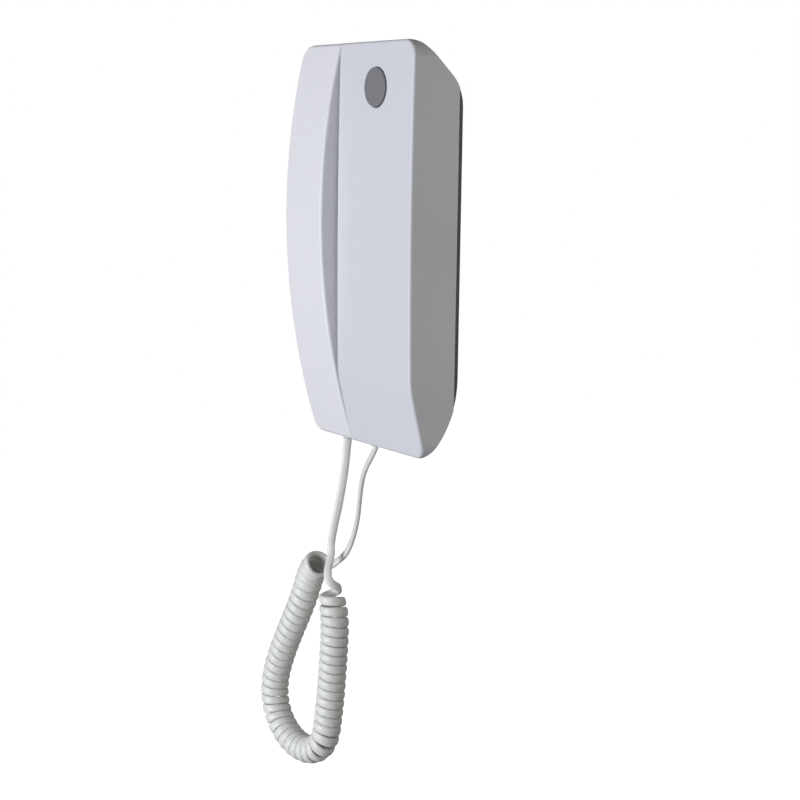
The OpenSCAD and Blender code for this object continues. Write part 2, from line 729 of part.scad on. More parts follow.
module hook_pivot_pin() {
    reach = hook_w/2 + set_fit + ear_wall;
    color("silver") translate([pivot_x, -pivot_d, hook_z - reach]) cylinder(d = pin_d, h = 2*reach);
}

// Leaf spring under the long arm, bearing on the wall plate
module hook_spring() {
    low = plate_t + run_fit;
    mid = nose_x + hook_reach/2;
    color("silver") translate([0, 0, hook_z - hook_w/4]) linear_extrude(hook_w/2)
        polygon([[mid + nose_r, -arm_low], [mid - nose_r, -arm_low], [nose_x, -low - spring_t],
                 [nose_x - nose_r, -low - spring_t], [nose_x - nose_r, -low], [nose_x, -low],
                 [mid - nose_r, -arm_low + spring_t], [mid + nose_r, -arm_low + spring_t]]);
}

// Bush that holds the cord in its outlet
module cord_relief(place) {
    translate([place[0], -place[1], cord_top]) {
        cylinder(d = relief_d, h = relief_len);
        translate([0, 0, relief_len - relief_flange_t]) cylinder(d = relief_flange_d, h = relief_flange_t);
    }
}

module base_cord_relief() {
    color("lightgray") cord_relief(base_cord);
}

module handset_cord_relief() {
    color("lightgray") cord_relief(grip_cord);
}

// Left side of the handset follows the body's corners; its right side is only eased
function grip_left(z) = left_x + corner_in(z, top_corner_r, bottom_corner_r);
function grip_right(z) = grip_right_x - corner_in(z, grip_edge_r, grip_edge_r);

module handset_front() {
    zs = grip_heights(z_bot, z_top, 12);
    front = [for (z = zs) bow_depth(z) - corner_in(z, grip_edge_r, grip_edge_r)];
    color("white") difference() {
        union() {
            difference() {
                loft([for (i = [0:len(zs) - 1])
                    let (z = zs[i], rear = min(max(split_depth(z), rear_depth(z)), front[i] - land))
                    section(z, grip_left(z), grip_right(z), rear, front[i],
                            min(grip_edge_r, (front[i] - rear)*thin_edge))]);
                front_hollow();
            }
            for (z = grip_screws) out(grip_x, split_depth(z) + part_gap, z)
                cylinder(d = grip_boss_d, h = bow_depth(z) - wall + land - split_depth(z));
            out(grip_x, shell_floor + gasket_t + ear_t + set_fit, ear_z)
                ring(ear_d/2, ear_d/2 - 2*wall, bow_depth(ear_z) - shell_floor - gasket_t - ear_t - wall);
        }
        for (z = grip_screws) out(grip_x, split_depth(z) - over, z)
            cylinder(r = grip_screw_d/2 + run_fit, h = bow_depth(z) - split_depth(z) - wall);
        grip_cord_hole();
    }
}

module front_hollow() {
    zs = grip_heights(z_bot + tip_fill, z_top - wall - head_play, 10);
    across(left_x + wall, grip_right_x - wall)
        hollow(zs, [for (z = zs) max(split_depth(z) - over, rear_depth(z, wall))],
               [for (z = zs) bow_depth(z) - wall]);
}

// Bore for the handset's bush, with a groove for its flange
module grip_cord_hole() {
    translate([grip_cord[0], -grip_cord[1], z_bot - over]) {
        cylinder(r = relief_d/2 + run_fit, h = relief_len);
        translate([0, 0, relief_len - relief_flange_t - set_fit])
            cylinder(d = relief_flange_d + 2*set_fit, h = relief_flange_t + 2*set_fit);
    }
}

module handset_back() {
    zs = grip_heights(rear_bottom(split_d - land), rear_top(split_d - land), 10);
    color("white") difference() {
        union() {
            difference() {
                loft([for (z = zs)
                    let (rear = max(back_depth(z), rear_depth(z)), front = split_depth(z) - part_gap)
                    rear_section(z, grip_left(z), grip_right(z), rear, front,
                                 min(back_edge_r, (front - rear)*thin_edge))]);
                back_hollow();
            }
            for (z = grip_screws) out(grip_x, back_depth(z) + wall - land, z)
                cylinder(d = grip_boss_d, h = pad_h - wall + land);
            out(grip_x, shell_floor - land, mic_z)
                ring(boot_d + 2*(set_fit + boot_wall), boot_d + 2*set_fit, mic_t/2 + land);
        }
        for (z = grip_screws) {
            out(grip_x, back_depth(z) - over, z)
                cylinder(d = grip_head_d + 2*set_fit, h = grip_head_t + set_fit + over);
            out(grip_x, back_depth(z), z) cylinder(d = grip_screw_d + 2*set_fit, h = back_h + over);
        }
        ear_grille();
        out(grip_x, rest_d - over, mic_z) cylinder(d = sound_hole_d, h = wall + 2*over);
        grip_cord_hole();
    }
}

module back_hollow() {
    zs = grip_heights(rear_bottom(split_d, wall), rear_top(split_d, wall), 8);
    across(left_x + wall, grip_right_x - wall)
        hollow(zs, [for (z = zs) max(back_depth(z) + wall, rear_depth(z, wall))],
               [for (z = zs) split_depth(z) + over]);
}

// Sound holes of the earpiece: one in the middle and two rings
module ear_grille() {
    out(grip_x, rest_d - over, ear_z) {
        cylinder(d = sound_hole_d, h = wall + 2*over);
        for (k = [1, 2], i = [0:6*k - 1]) rotate(60*i/k) translate([k*grille_step, 0, 0])
            cylinder(d = sound_hole_d, h = wall + 2*over);
    }
}

module earpiece_gasket() {
    color("black") out(grip_x, shell_floor, ear_z) ring(ear_d, ear_d - 3*wall, gasket_t);
}

module earpiece_capsule() {
    magnet = ear_d/2;
    color("silver") out(grip_x, shell_floor + gasket_t, ear_z) difference() {
        union() {
            cylinder(d = ear_d, h = ear_t/2);
            translate([0, 0, ear_t/2 - land])
                cylinder(d1 = ear_d - wall, d2 = magnet + wall, h = ear_t/6 + land);
            cylinder(d = magnet, h = ear_t);
        }
        translate([0, 0, -over]) cylinder(d = magnet, h = wall + over);
    }
}

module microphone_boot() {
    color("dimgray") out(grip_x, shell_floor, mic_z) difference() {
        cylinder(d = boot_d, h = mic_t);
        translate([0, 0, boot_wall]) cylinder(r = mic_d/2 + run_fit, h = mic_t);
        translate([0, 0, -over]) cylinder(d = sound_hole_d, h = mic_t);
    }
}

module microphone_capsule() {
    color("silver") out(grip_x, shell_floor + boot_wall, mic_z) difference() {
        cylinder(d = mic_d, h = mic_t);
        translate([0, 0, mic_t - land]) ring(mic_d - 2*boot_wall, mic_d - 4*boot_wall, 2*land);
    }
}

module handset_screws() {
    color("silver") for (z = grip_screws) out(grip_x, back_depth(z) + set_fit, z) {
        difference() {
            cylinder(d = grip_head_d, h = grip_head_t);
            translate([0, 0, -over]) cylinder(d = grip_screw_d/2, h = grip_head_t/2 + over, $fn = 6);
        }
        translate([0, 0, grip_head_t - land])
            cylinder(d = grip_screw_d, h = bow_depth(z) - back_depth(z) - 4*wall);
    }
}

// The two plain leads and the curly length between them
down = [0, 0, -1];
grip_flat = [-0.84, 0.55, 0];
base_flat = [-0.55, -0.84, 0];
module lead(place, points, flat, end, last) {
    path = concat([[place[0], -place[1], cord_top]], points, [end]);
    color("whitesmoke") tube(path, [for (p = path) flat], lead_sides, down, last);
}

module cord_handset_lead() {
    lead(grip_cord, grip_lead, grip_flat, curl_path[0], unit(curl_path[1] - curl_path[0]));
}

module cord_base_lead() {
    end = len(curl_path) - 1;
    lead(base_cord, base_lead, base_flat, curl_path[end], unit(curl_path[end - 1] - curl_path[end]));
}

module cord_coil() {
    end = len(curl_path) - 1;
    spacing = [for (i = [0:end - curl_rings], j = [i + curl_rings - 1:end])
        norm(curl_path[j] - curl_path[i])];
    echo(curls = last_wound/360, least_gap = min(spacing) - cord_w, rings = end + 1);
    color("whitesmoke") tube(curl_path, curl_flat, coil_sides, unit(curl_path[1] - curl_path[0]),
                             unit(curl_path[end] - curl_path[end - 1]));
}

wall_plate();
base_cover();
circuit_board();
board_screws();
terminal_block();
terminal_screws();
call_sounder();
door_switch_body();
door_switch_plunger();
call_button();
hook_switch_body();
hook_switch_plunger();
hook_lever();
hook_pivot_pin();
hook_spring();
base_cord_relief();
handset_front();
handset_back();
earpiece_capsule();
earpiece_gasket();
microphone_capsule();
microphone_boot();
handset_screws();
handset_cord_relief();
cord_base_lead();
cord_coil();
cord_handset_lead();
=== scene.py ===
"""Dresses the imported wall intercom: camera, curly cord, cover, handset, button, finishes and studio."""
import logging
import math
from dataclasses import dataclass, field
from enum import Enum
from typing import Any, ClassVar, Sequence

import bmesh
import bpy
import numpy as np
from mathutils import Matrix, Vector


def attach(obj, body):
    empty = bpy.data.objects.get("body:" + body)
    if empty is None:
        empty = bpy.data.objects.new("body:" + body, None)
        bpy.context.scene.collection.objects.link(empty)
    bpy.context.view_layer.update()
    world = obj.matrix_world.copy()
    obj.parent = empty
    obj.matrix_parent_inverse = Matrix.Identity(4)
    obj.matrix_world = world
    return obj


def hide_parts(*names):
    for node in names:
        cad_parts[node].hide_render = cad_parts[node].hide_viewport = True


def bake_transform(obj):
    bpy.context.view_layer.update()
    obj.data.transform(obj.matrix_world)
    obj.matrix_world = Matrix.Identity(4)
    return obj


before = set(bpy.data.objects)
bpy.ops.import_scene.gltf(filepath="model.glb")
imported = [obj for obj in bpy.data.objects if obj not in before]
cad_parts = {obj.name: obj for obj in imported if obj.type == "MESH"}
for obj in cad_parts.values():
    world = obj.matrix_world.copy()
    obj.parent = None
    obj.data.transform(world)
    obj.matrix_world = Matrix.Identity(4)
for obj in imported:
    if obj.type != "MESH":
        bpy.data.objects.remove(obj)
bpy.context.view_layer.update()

MM = 0.001
TURN = 2 * math.pi
LOG = logging.getLogger("intercom")
Pair = tuple[float, float]
Point = tuple[float, float, float]
Ring = list[Point]
Number = float | np.ndarray


# Finishes

# How finely the clouds and the grain are broken up.
CLOUD_NOISE = {"Detail": 4.0, "Roughness": 0.55}
GRAIN_NOISE = {"Detail": 2.0, "Roughness": 0.5}
# Where the product of clouds and grain mostly lies, and how strongly the grain's relief shows.
GLOSS_RANGE = (0.1, 0.45)
RELIEF_STRENGTH = 0.5
# How far red, green and blue light goes under a surface that lets light in.
SKIN_SHARES = (1.0, 0.95, 0.9)
SKIN_MM = 1.2


def linear(colour: str) -> tuple[float, float, float, float]:
    """Turns an sRGB hex colour into linear light.

    Args:
        colour: six hex digits with a leading hash.

    Returns:
        Red, green, blue and an alpha of one.
    """
    parts = [int(colour[i:i + 2], 16) / 255 for i in (1, 3, 5)]
    light = [c / 12.92 if c <= 0.04045 else ((c + 0.055) / 1.055) ** 2.4 for c in parts]
    return light[0], light[1], light[2], 1.0


def add_node(tree: bpy.types.NodeTree, kind: str, inputs: dict[Any, Any], **settings: Any) -> bpy.types.Node:
    """Adds one node with its settings and links.

    Args:
        tree: node tree of a material or of the world.
        kind: Blender's name of the node type.
        inputs: values, or output sockets to link, by input name or number.
        settings: attributes of the node.

    Returns:
        The new node.
    """
    node = tree.nodes.new(kind)
    for name, value in settings.items():
        setattr(node, name, value)
    for key, value in inputs.items():
        if isinstance(value, bpy.types.NodeSocket):
            tree.links.new(value, node.inputs[key])
        else:
            node.inputs[key].default_value = value
    return node


@dataclass(frozen=True)
class Finish:
    """A surface as it left its maker: a body colour, its unevenness and its fine texture.

    Attributes:
        name: the material and how its surface was made.
        colour: body colour.
        tint: colour of its faint clouds.
        roughness: middle roughness.
        spread: how far the roughness goes to either side.
        grain_mm: width of the grain.
        relief_mm: height of the grain.
        patch_mm: width of the clouds.
        ior: index of refraction, left at its default for a metal.
        metallic: one for a metal.
        skin: share of the light that goes under the surface.
    """

    name: str
    colour: str
    tint: str
    roughness: float
    spread: float
    grain_mm: float
    relief_mm: float
    patch_mm: float
    ior: float = 1.5
    metallic: float = 0.0
    skin: float = 0.0

    def material(self) -> bpy.types.Material:
        """Makes the material, or finds it.

        Returns:
            A material with uneven colour and gloss, and a fine relief from its grain.
        """
        if self.name in bpy.data.materials:
            return bpy.data.materials[self.name]
        material = bpy.data.materials.new(self.name)
        material.use_nodes = True
        tree = material.node_tree
        tree.nodes.clear()
        place = add_node(tree, "ShaderNodeTexCoord", {}).outputs["Object"]
        clouds = add_node(tree, "ShaderNodeTexNoise", {
            "Vector": place, "Scale": 1 / (self.patch_mm * MM), **CLOUD_NOISE})
        grain = add_node(tree, "ShaderNodeTexNoise", {
            "Vector": place, "Scale": 1 / (self.grain_mm * MM), **GRAIN_NOISE})
        # Inputs 0, 6 and 7 of a colour mix are its share and its two colours, and output 2 is the result.
        colour = add_node(tree, "ShaderNodeMix", {
            0: clouds.outputs["Fac"], 6: linear(self.colour), 7: linear(self.tint)}, data_type="RGBA")
        both = add_node(tree, "ShaderNodeMath", {
            0: clouds.outputs["Fac"], 1: grain.outputs["Fac"]}, operation="MULTIPLY")
        gloss = add_node(tree, "ShaderNodeMapRange", {
            "Value": both.outputs[0], "From Min": GLOSS_RANGE[0], "From Max": GLOSS_RANGE[1],
            "To Min": self.roughness - self.spread, "To Max": self.roughness + self.spread})
        bump = add_node(tree, "ShaderNodeBump", {
            "Height": grain.outputs["Fac"], "Strength": RELIEF_STRENGTH, "Distance": self.relief_mm * MM})
        values: dict[Any, Any] = {
            "Base Color": colour.outputs[2], "Roughness": gloss.outputs["Result"],
            "Normal": bump.outputs["Normal"], "Metallic": self.metallic}
        if not self.metallic:
            values["IOR"] = self.ior
        if self.skin:
            values["Subsurface Weight"] = self.skin
            values["Subsurface Radius"] = SKIN_SHARES
            values["Subsurface Scale"] = SKIN_MM * MM
        shader = add_node(tree, "ShaderNodeBsdfPrincipled", values)
        add_node(tree, "ShaderNodeOutputMaterial", {"Surface": shader.outputs[0]})
        return material


class Finishes(Enum):
    """Every finish of the station, named for its material and how its surface was made.

    Most of the real grains are about 0.1 mm, too fine to show, so they are drawn at 0.5 to 0.8 mm.
    """

    # ABS from a spark-eroded tool: an even, cool white with a soft sheen.
    COVER = Finish("ABS white, spark-eroded moulding", "#E2E2E9", "#DCDDE2",
                   roughness=0.44, spread=0.05, grain_mm=0.6, relief_mm=0.016, patch_mm=38)
    # The handset is the same ABS from a finer tool, a little brighter and smoother where it is held.
    HANDSET = Finish("ABS white, finely eroded moulding", "#F3F2F5", "#EEEEF0",
                     roughness=0.38, spread=0.05, grain_mm=0.6, relief_mm=0.011, patch_mm=30)
    # Grey ABS of the button: a fine matt grain, rubbed a little smoother by fingers.
    BUTTON = Finish("ABS grey, matt moulding", "#88878B", "#7F7E82",
                    roughness=0.42, spread=0.07, grain_mm=0.5, relief_mm=0.012, patch_mm=6)
    # Filled ABS of the wall plate: dark grey, dull, with flow marks. Part of that dark grey is painted shade:
    # it darkens the plate's strip along the cover's rear edge, where the shade of the gap falls.
    PLATE_PAINTED_SHADE = Finish("ABS dark grey with painted edge shade, plain moulding", "#5A5B5E", "#515255",
                   roughness=0.55, spread=0.06, grain_mm=0.8, relief_mm=0.02, patch_mm=18)
    # Soft PVC pulled through a die: a satin light grey that lets a little light in.
    CORD = Finish("PVC light grey, extruded", "#F1F1EE", "#E9EAE6", roughness=0.40, spread=0.06,
                  grain_mm=0.7, relief_mm=0.01, patch_mm=9, ior=1.53, skin=0.12)
    # The outlet bushes are the same PVC, moulded, a little duller.
    BUSH = Finish("PVC light grey, moulded", "#CDCECD", "#C4C5C4",
                  roughness=0.48, spread=0.05, grain_mm=0.6, relief_mm=0.012, patch_mm=6, ior=1.53)
    # Acetal of the lever: waxy ivory.
    LEVER = Finish("acetal ivory, moulded", "#E3DCC6", "#DAD2BA",
                   roughness=0.34, spread=0.05, grain_mm=0.7, relief_mm=0.01, patch_mm=8, ior=1.48)
    # Acetal of the plungers: waxy white.
    PLUNGER = Finish("acetal white, moulded", "#E8E8E4", "#DFDFDA",
                     roughness=0.32, spread=0.05, grain_mm=0.5, relief_mm=0.008, patch_mm=4, ior=1.48)
    # Glass-filled resin under a green solder mask, with the weave's faint cloudiness.
    BOARD = Finish("epoxy board, green solder mask", "#1F5B38", "#1A4E30",
                   roughness=0.3, spread=0.08, grain_mm=0.7, relief_mm=0.02, patch_mm=5, ior=1.55)
    # Polyamide of the terminal block: flat green with a dry sheen.
    TERMINAL = Finish("polyamide green, moulded", "#2F7F74", "#2A7268",
                      roughness=0.5, spread=0.05, grain_mm=0.6, relief_mm=0.015, patch_mm=6, ior=1.53)
    # Polyester of the sounder and switches: dense black.
    SWITCH = Finish("polyester black, moulded", "#1C1C1E", "#242426",
                    roughness=0.46, spread=0.06, grain_mm=0.6, relief_mm=0.015, patch_mm=6, ior=1.57)
    # Zinc on turned and stamped steel: bright with a faint blue cloudiness.
    STEEL = Finish("steel, zinc plated", "#B7BBC0", "#A9AEB4",
                   roughness=0.3, spread=0.1, grain_mm=0.5, relief_mm=0.008, patch_mm=3, metallic=1.0)
    # Pressed aluminium of the two capsules: dull silver.
    CAPSULE = Finish("aluminium, pressed", "#C2C4C6", "#B6B8BB",
                     roughness=0.38, spread=0.08, grain_mm=0.5, relief_mm=0.008, patch_mm=4, metallic=1.0)
    # Closed-cell foam of the gasket: black, with open pores where it is cut.
    FOAM = Finish("rubber foam black, die cut", "#232324", "#2D2D2E",
                  roughness=0.85, spread=0.06, grain_mm=0.8, relief_mm=0.12, patch_mm=3, ior=1.52)
    # Silicone boot: dull mid grey.
    BOOT = Finish("silicone grey, moulded", "#77787A", "#6E6F71",
                  roughness=0.6, spread=0.06, grain_mm=0.6, relief_mm=0.015, patch_mm=5, ior=1.41)


# Mesh making


class Workshop:
    """Makes closed meshes from sizes in millimetres."""

    # Corners this close are one corner, edges bent more than this are sharp, and a ring that closes on
    # its axis keeps this radius.
    WELD: ClassVar[float] = 0.002
    SHARP: ClassVar[float] = math.radians(28)
    LEAST_R: ClassVar[float] = 0.001

    @staticmethod
    def make(name: str, points: Sequence[Point], faces: Sequence[Sequence[int]]) -> bpy.types.Object:
        """Makes an object in metres from points in millimetres.

        Args:
            name: name of the object and its mesh.
            points: corners of the mesh.
            faces: corner numbers of each face.

        Returns:
            The object, with its faces turned outwards.
        """
        mesh = bpy.data.meshes.new(name)
        mesh.from_pydata([[c * MM for c in p] for p in points], [], [list(f) for f in faces])
        obj = bpy.data.objects.new(name, mesh)
        bpy.context.scene.collection.objects.link(obj)
        Workshop.clean(obj)
        return obj

    @staticmethod
    def clean(obj: bpy.types.Object) -> None:
        """Joins corners that coincide, drops faces without area and turns the rest outwards.

        Args:
            obj: the object, which is changed.
        """
        work = bmesh.new()
        work.from_mesh(obj.data)
        bmesh.ops.remove_doubles(work, verts=work.verts, dist=Workshop.WELD * MM)
        bmesh.ops.dissolve_degenerate(work, edges=work.edges, dist=Workshop.WELD * MM)
        bmesh.ops.recalc_face_normals(work, faces=work.faces)
        work.to_mesh(obj.data)
        work.free()

    @staticmethod
    def loft(name: str, rings: Sequence[Ring]) -> bpy.types.Object:
        """Makes a closed form through rings of equal count.

        Args:
            name: name of the object.
            rings: corner loops, in order.

        Returns:
            The form, closed by a face at each end.
        """
        n, m = len(rings[0]), len(rings)
        faces: list[list[int]] = [list(range(n)), list(range((m - 1) * n, m * n))]
        for k in range(m - 1):
            for i in range(n):
                a, b = k * n + i, k * n + (i + 1) % n
                faces.append([a, a + n, b + n, b])
        return Workshop.make(name, [p for r in rings for p in r], faces)

    @staticmethod
    def circle(r: float, sides: int) -> list[Pair]:
        """Gives the corners of a regular polygon round the origin."""
        angles = [TURN * i / sides for i in range(sides)]
        return [(r * math.cos(a), r * math.sin(a)) for a in angles]

    @staticmethod
    def lathe(name: str, x: float, z: float, outline: Sequence[Pair], sides: int) -> bpy.types.Object:
        """Turns an outline round a line that stands out of the wall.

        Args:
            name: name of the object.
            x: place of the line, across.
            z: place of the line, upwards.
            outline: radius and depth of each point, from one end of the line to the other.
            sides: number of sides.

        Returns:
            The turned form.
        """
        rings = []
        for r, d in outline:
            corners = Workshop.circle(max(r, Workshop.LEAST_R), sides)
            rings.append([(x + across, -d, z + up) for across, up in corners])
        return Workshop.loft(name, rings)

    @staticmethod
    def prism(name: str, x0: float, x1: float, outline: Sequence[Pair]) -> bpy.types.Object:
        """Stretches an outline in depth and height from x0 to x1.

        Args:
            name: name of the object.
            x0: left end.
            x1: right end.
            outline: depth and height of each corner.

        Returns:
            The stretched form.
        """
        return Workshop.loft(name, [[(x, -d, z) for d, z in outline] for x in (x0, x1)])

    @staticmethod
    def rod(name: str, foot: Point, r: float, h: float, sides: int = 48) -> bpy.types.Object:
        """Makes an upright rod.

        Args:
            name: name of the object.
            foot: middle of its lower end.
            r: radius.
            h: height.
            sides: number of sides.

        Returns:
            The rod.
        """
        x, y, z = foot
        corners = Workshop.circle(r, sides)
        return Workshop.loft(name, [[(x + a, y + b, z + up) for a, b in corners] for up in (0, h)])

    @staticmethod
    def join(name: str, parts: Sequence[bpy.types.Object]) -> bpy.types.Object:
        """Puts several meshes that stand apart into one object.

        Args:
            name: name of the object.
            parts: objects, which are used up.

        Returns:
            The one object.
        """
        work = bmesh.new()
        for part in parts:
            work.from_mesh(part.data)
            bpy.data.objects.remove(part)
        mesh = bpy.data.meshes.new(name)
        work.to_mesh(mesh)
        work.free()
        obj = bpy.data.objects.new(name, mesh)
        bpy.context.scene.collection.objects.link(obj)
        return obj

    @staticmethod
    def cut(body: bpy.types.Object, tool: bpy.types.Object) -> None:
        """Cuts a tool out of a body.

        Args:
            body: the body, which is changed.
            tool: the tool, which is used up.
        """
        modifier = body.modifiers.new("work", "BOOLEAN")
        modifier.operation = "DIFFERENCE"
        modifier.object = tool
        modifier.solver = "EXACT"
        bpy.context.view_layer.update()
        graph = bpy.context.evaluated_depsgraph_get()
        done = bpy.data.meshes.new_from_object(body.evaluated_get(graph))
        body.modifiers.clear()
        body.data = done
        bpy.data.objects.remove(tool)

    @staticmethod
    def finish(obj: bpy.types.Object, surface: Finishes, body: str, slot: str, nodes: Sequence[str]) -> None:
        """Shades a piece, dresses it and sets it on its body.

        Args:
            obj: the piece.
            surface: its finish.
            body: the body that it rides on, or an empty text for the cord.
            slot: the name of a slot for its finish; not used.
            nodes: the solids that it stands for.
        """
        Workshop.clean(obj)
        mesh = obj.data
        mesh.polygons.foreach_set("use_smooth", [True] * len(mesh.polygons))
        mesh.set_sharp_from_angle(angle=Workshop.SHARP)
        mesh.materials.clear()
        mesh.materials.append(surface.value.material())
        modifier = obj.modifiers.new("even shading", "WEIGHTED_NORMAL")
        modifier.keep_sharp = True
        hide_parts(*nodes)
        if body:
            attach(obj, body)
        LOG.info("%s: %d faces", obj.name, len(mesh.polygons))


# Curves

# Part of a wall's depth that a rounded edge takes at most.
EDGE_SHARE = 0.8


def ease(t: Number) -> Number:
    """Goes from 0 to 1 with a soft start and end."""
    return (1 - np.cos(math.pi * np.clip(t, 0.0, 1.0))) / 2


def sag(r: float, t: float) -> float:
    """Gives the drop of a circle of radius r at the distance t from its crest."""
    return r - math.sqrt(max(0.0, r * r - t * t))


def rounding(r: float, steps: int) -> list[Pair]:
    """Gives a quarter round as pairs: how far in from the side, and how far down from the front."""
    angles = [math.pi / 2 * i / steps for i in range(steps + 1)]
    return [(r * (1 - math.cos(a)), r * (1 - math.sin(a))) for a in angles]


def fitted(r: float, depth: float, steps: int) -> list[Pair]:
    """Gives a quarter round that is smaller where the wall has little depth."""
    return rounding(min(r, depth * EDGE_SHARE), steps)


def unit(v: np.ndarray) -> np.ndarray:
    """Gives vectors of length one."""
    return v / np.linalg.norm(v, axis=-1, keepdims=True)


def between(rows: np.ndarray, places: np.ndarray) -> np.ndarray:
    """Finds vectors between the rows of a table, at places counted in rows."""
    return np.column_stack([np.interp(places, np.arange(len(rows)), column) for column in rows.T])


def on_route(route: np.ndarray, places: np.ndarray) -> np.ndarray:
    """Finds points of a smooth curve through a route.

    Args:
        route: points that the curve passes.
        places: where along it, counted in route points.

    Returns:
        The points there.
    """
    n = len(route) - 1
    i = np.minimum(np.floor(places).astype(int), n - 1)
    t = (places - i)[:, None]
    a, b, c, d = route[np.maximum(i - 1, 0)], route[i], route[i + 1], route[np.minimum(i + 2, n)]
    second, third = 2 * a - 5 * b + 4 * c - d, 3 * b - a - 3 * c + d
    return 0.5 * (2 * b + (c - a) * t + second * t ** 2 + third * t ** 3)


# The curly cord


@dataclass
class CurlyCord:
    """One flat cord: a plain lead from the handset, a long curly loop and a plain lead into the base."""

    # The section: its width and thickness, how square its oval is each way, and its corners.
    width: float = 4.2
    thick: float = 2.6
    squareness: Pair = (0.85, 0.8)
    sides: int = 14
    # The curls: width over all, pitch, rings in a turn, and how far the pitch gives way in a bend.
    coil_d: float = 15.2
    pitch: float = 4.9
    curl_rings: int = 26
    give: float = 0.2
    # The cord's width in the curls: the share of the pitch that it fills, and its limits.
    fill: float = 0.95
    curl_widths: Pair = (3.4, 5.3)
    # The axis of the curls: points to each route point, and neighbours for its evening and its bend.
    axis_steps: int = 16
    even: int = 10
    bend_span: int = 2
    # Distances along the axis from the handset's lead, between which the curls open and start to wind.
    flare: Pair = (-18.0, 25.0)
    wind_in: Pair = (0.0, 21.0)
    # Distances from the base's lead in which the winding stops and the curls crowd, and by how much.
    run_out: float = 3.0
    crowd_len: float = 9.0
    crowd: float = 0.45
    # Where round the axis the curls start and end, measured from the loop's plane, and that plane's normal.
    first_angle: float = math.radians(247.5)
    last_angle: float = math.radians(60)
    loop_normal: Point = (0.3, -0.95, 0.0)
    # Rings of the curly length before its first turn and after its last one.
    entry_rings: int = 5
    exit_rings: int = 8
    # The leads: their thin way at the outlets, how far up in the outlet their curve begins, where on it
    # the cord starts, rings to each route point, and route points in which they twist to the curls.
    grip_flat: Point = (-0.84, 0.55, 0.0)
    base_flat: Point = (-0.55, -0.84, 0.0)
    stub: float = 5.0
    lead_start: float = 0.8
    lead_rings: int = 14
    twist: int = 4
    # Rings of the curly length, counted from each end, to which the leads are headed.
    grip_ahead: int = 4
    base_ahead: int = -6
    grip_lead: tuple[Point, ...] = (
        (-25.5, -15.2, -101), (-26.3, -15.2, -105.7), (-27, -15.3, -111), (-28, -15.8, -119.7),
        (-29.4, -16.5, -128.9), (-30.7, -17.5, -138.1), (-32.4, -18.7, -147.3), (-33.1, -20, -156),
        (-31.8, -21.2, -164.3))
    base_lead: tuple[Point, ...] = (
        (1, -14.2, -101), (-0.5, -14.2, -103.7), (-3.8, -14.2, -107.9), (-7.5, -14.2, -112.4),
        (-11.2, -14.2, -118.3), (-13.7, -14, -125.3), (-15.6, -13.7, -133.1), (-17.5, -13.4, -140.9),
        (-20.7, -13.2, -149.4), (-25.2, -13, -157.3), (-31.4, -12.9, -164.3))
    coil_route: tuple[Point, ...] = (
        (-30.6, -22.6, -171.5), (-28.5, -22.9, -182.6), (-25.6, -22, -194.5), (-25.7, -22, -209.7),
        (-27.3, -22, -225.3), (-28.8, -22.2, -240.5), (-30.6, -22.8, -255.3), (-33, -23.8, -266.6),
        (-44.2, -25, -273.3), (-57, -26.4, -273.5), (-68.7, -27.6, -268.4), (-76.4, -28.4, -259.7),
        (-79.1, -28.8, -248.1), (-77.1, -28.2, -235.7), (-70.7, -26.8, -220.1), (-62.4, -24.8, -203.8),
        (-56.1, -22.4, -188.8), (-53.4, -21.4, -179.4), (-49, -20.2, -172.4), (-42.6, -19.3, -169.2))

    @property
    def coil_r(self) -> float:
        """Gives the radius of the curls' middle line."""
        return (self.coil_d - self.thick) / 2

    def evened(self, points: np.ndarray) -> np.ndarray:
        """Spreads the bends of a line evenly, with its ends held.

        Args:
            points: points of the line, at about even distances.

        Returns:
            The mean of each point and its neighbours on both sides.
        """
        m = self.even
        head, tail = 2 * points[0] - points[m:0:-1], 2 * points[-1] - points[-2:-m - 2:-1]
        total = np.cumsum(np.concatenate([[points[0] * 0], head, points, tail]), axis=0)
        return (total[2 * m + 1:] - total[:-2 * m - 1]) / (2 * m + 1)

    def axis(self) -> tuple[np.ndarray, np.ndarray, np.ndarray, np.ndarray]:
        """Draws the line that the curls go round.

        Returns:
            Its points, and at each the distance along it, the direction and how that bends.
        """
        last = self.axis_steps * (len(self.coil_route) - 1)
        steps = np.arange(last + 1)
        points = self.evened(on_route(np.array(self.coil_route, float), steps / self.axis_steps))
        gaps = np.linalg.norm(np.diff(points, axis=0), axis=1)
        run = np.concatenate([[0], np.cumsum(gaps)])
        ahead = unit(points[np.minimum(steps + 1, last)] - points[np.maximum(steps - 1, 0)])
        near, far = np.maximum(steps - self.bend_span, 0), np.minimum(steps + self.bend_span, last)
        bend = (ahead[far] - ahead[near]) / (run[far] - run[near])[:, None]
        return points, run, ahead, bend

    def winding(self, run: np.ndarray, bend: np.ndarray) -> np.ndarray:
        """Works out how far the cord has gone round the axis.

        Args:
            run: distances along the axis.
            bend: how sharply the axis bends there.

        Returns:
            The angle at each of them.
        """
        share = ease((run - self.wind_in[0]) / (self.wind_in[1] - self.wind_in[0]))
        left = run[-1] - self.width - run
        crowding = 1 + self.crowd * np.clip(2 - left / self.crowd_len, 0, 1)
        share *= np.clip(left / self.run_out, 0, 1) * crowding
        rate = TURN * share * (1 - self.give * self.coil_r * bend) / self.pitch
        turn = np.concatenate([[0], np.cumsum(rate[:-1] * np.diff(run))])
        # The winding is eased a little so that both ends of the coil point the right way.
        ends = self.last_angle - self.first_angle
        return turn * ((TURN * round((turn[-1] + ends) / TURN) - ends) / turn[-1])

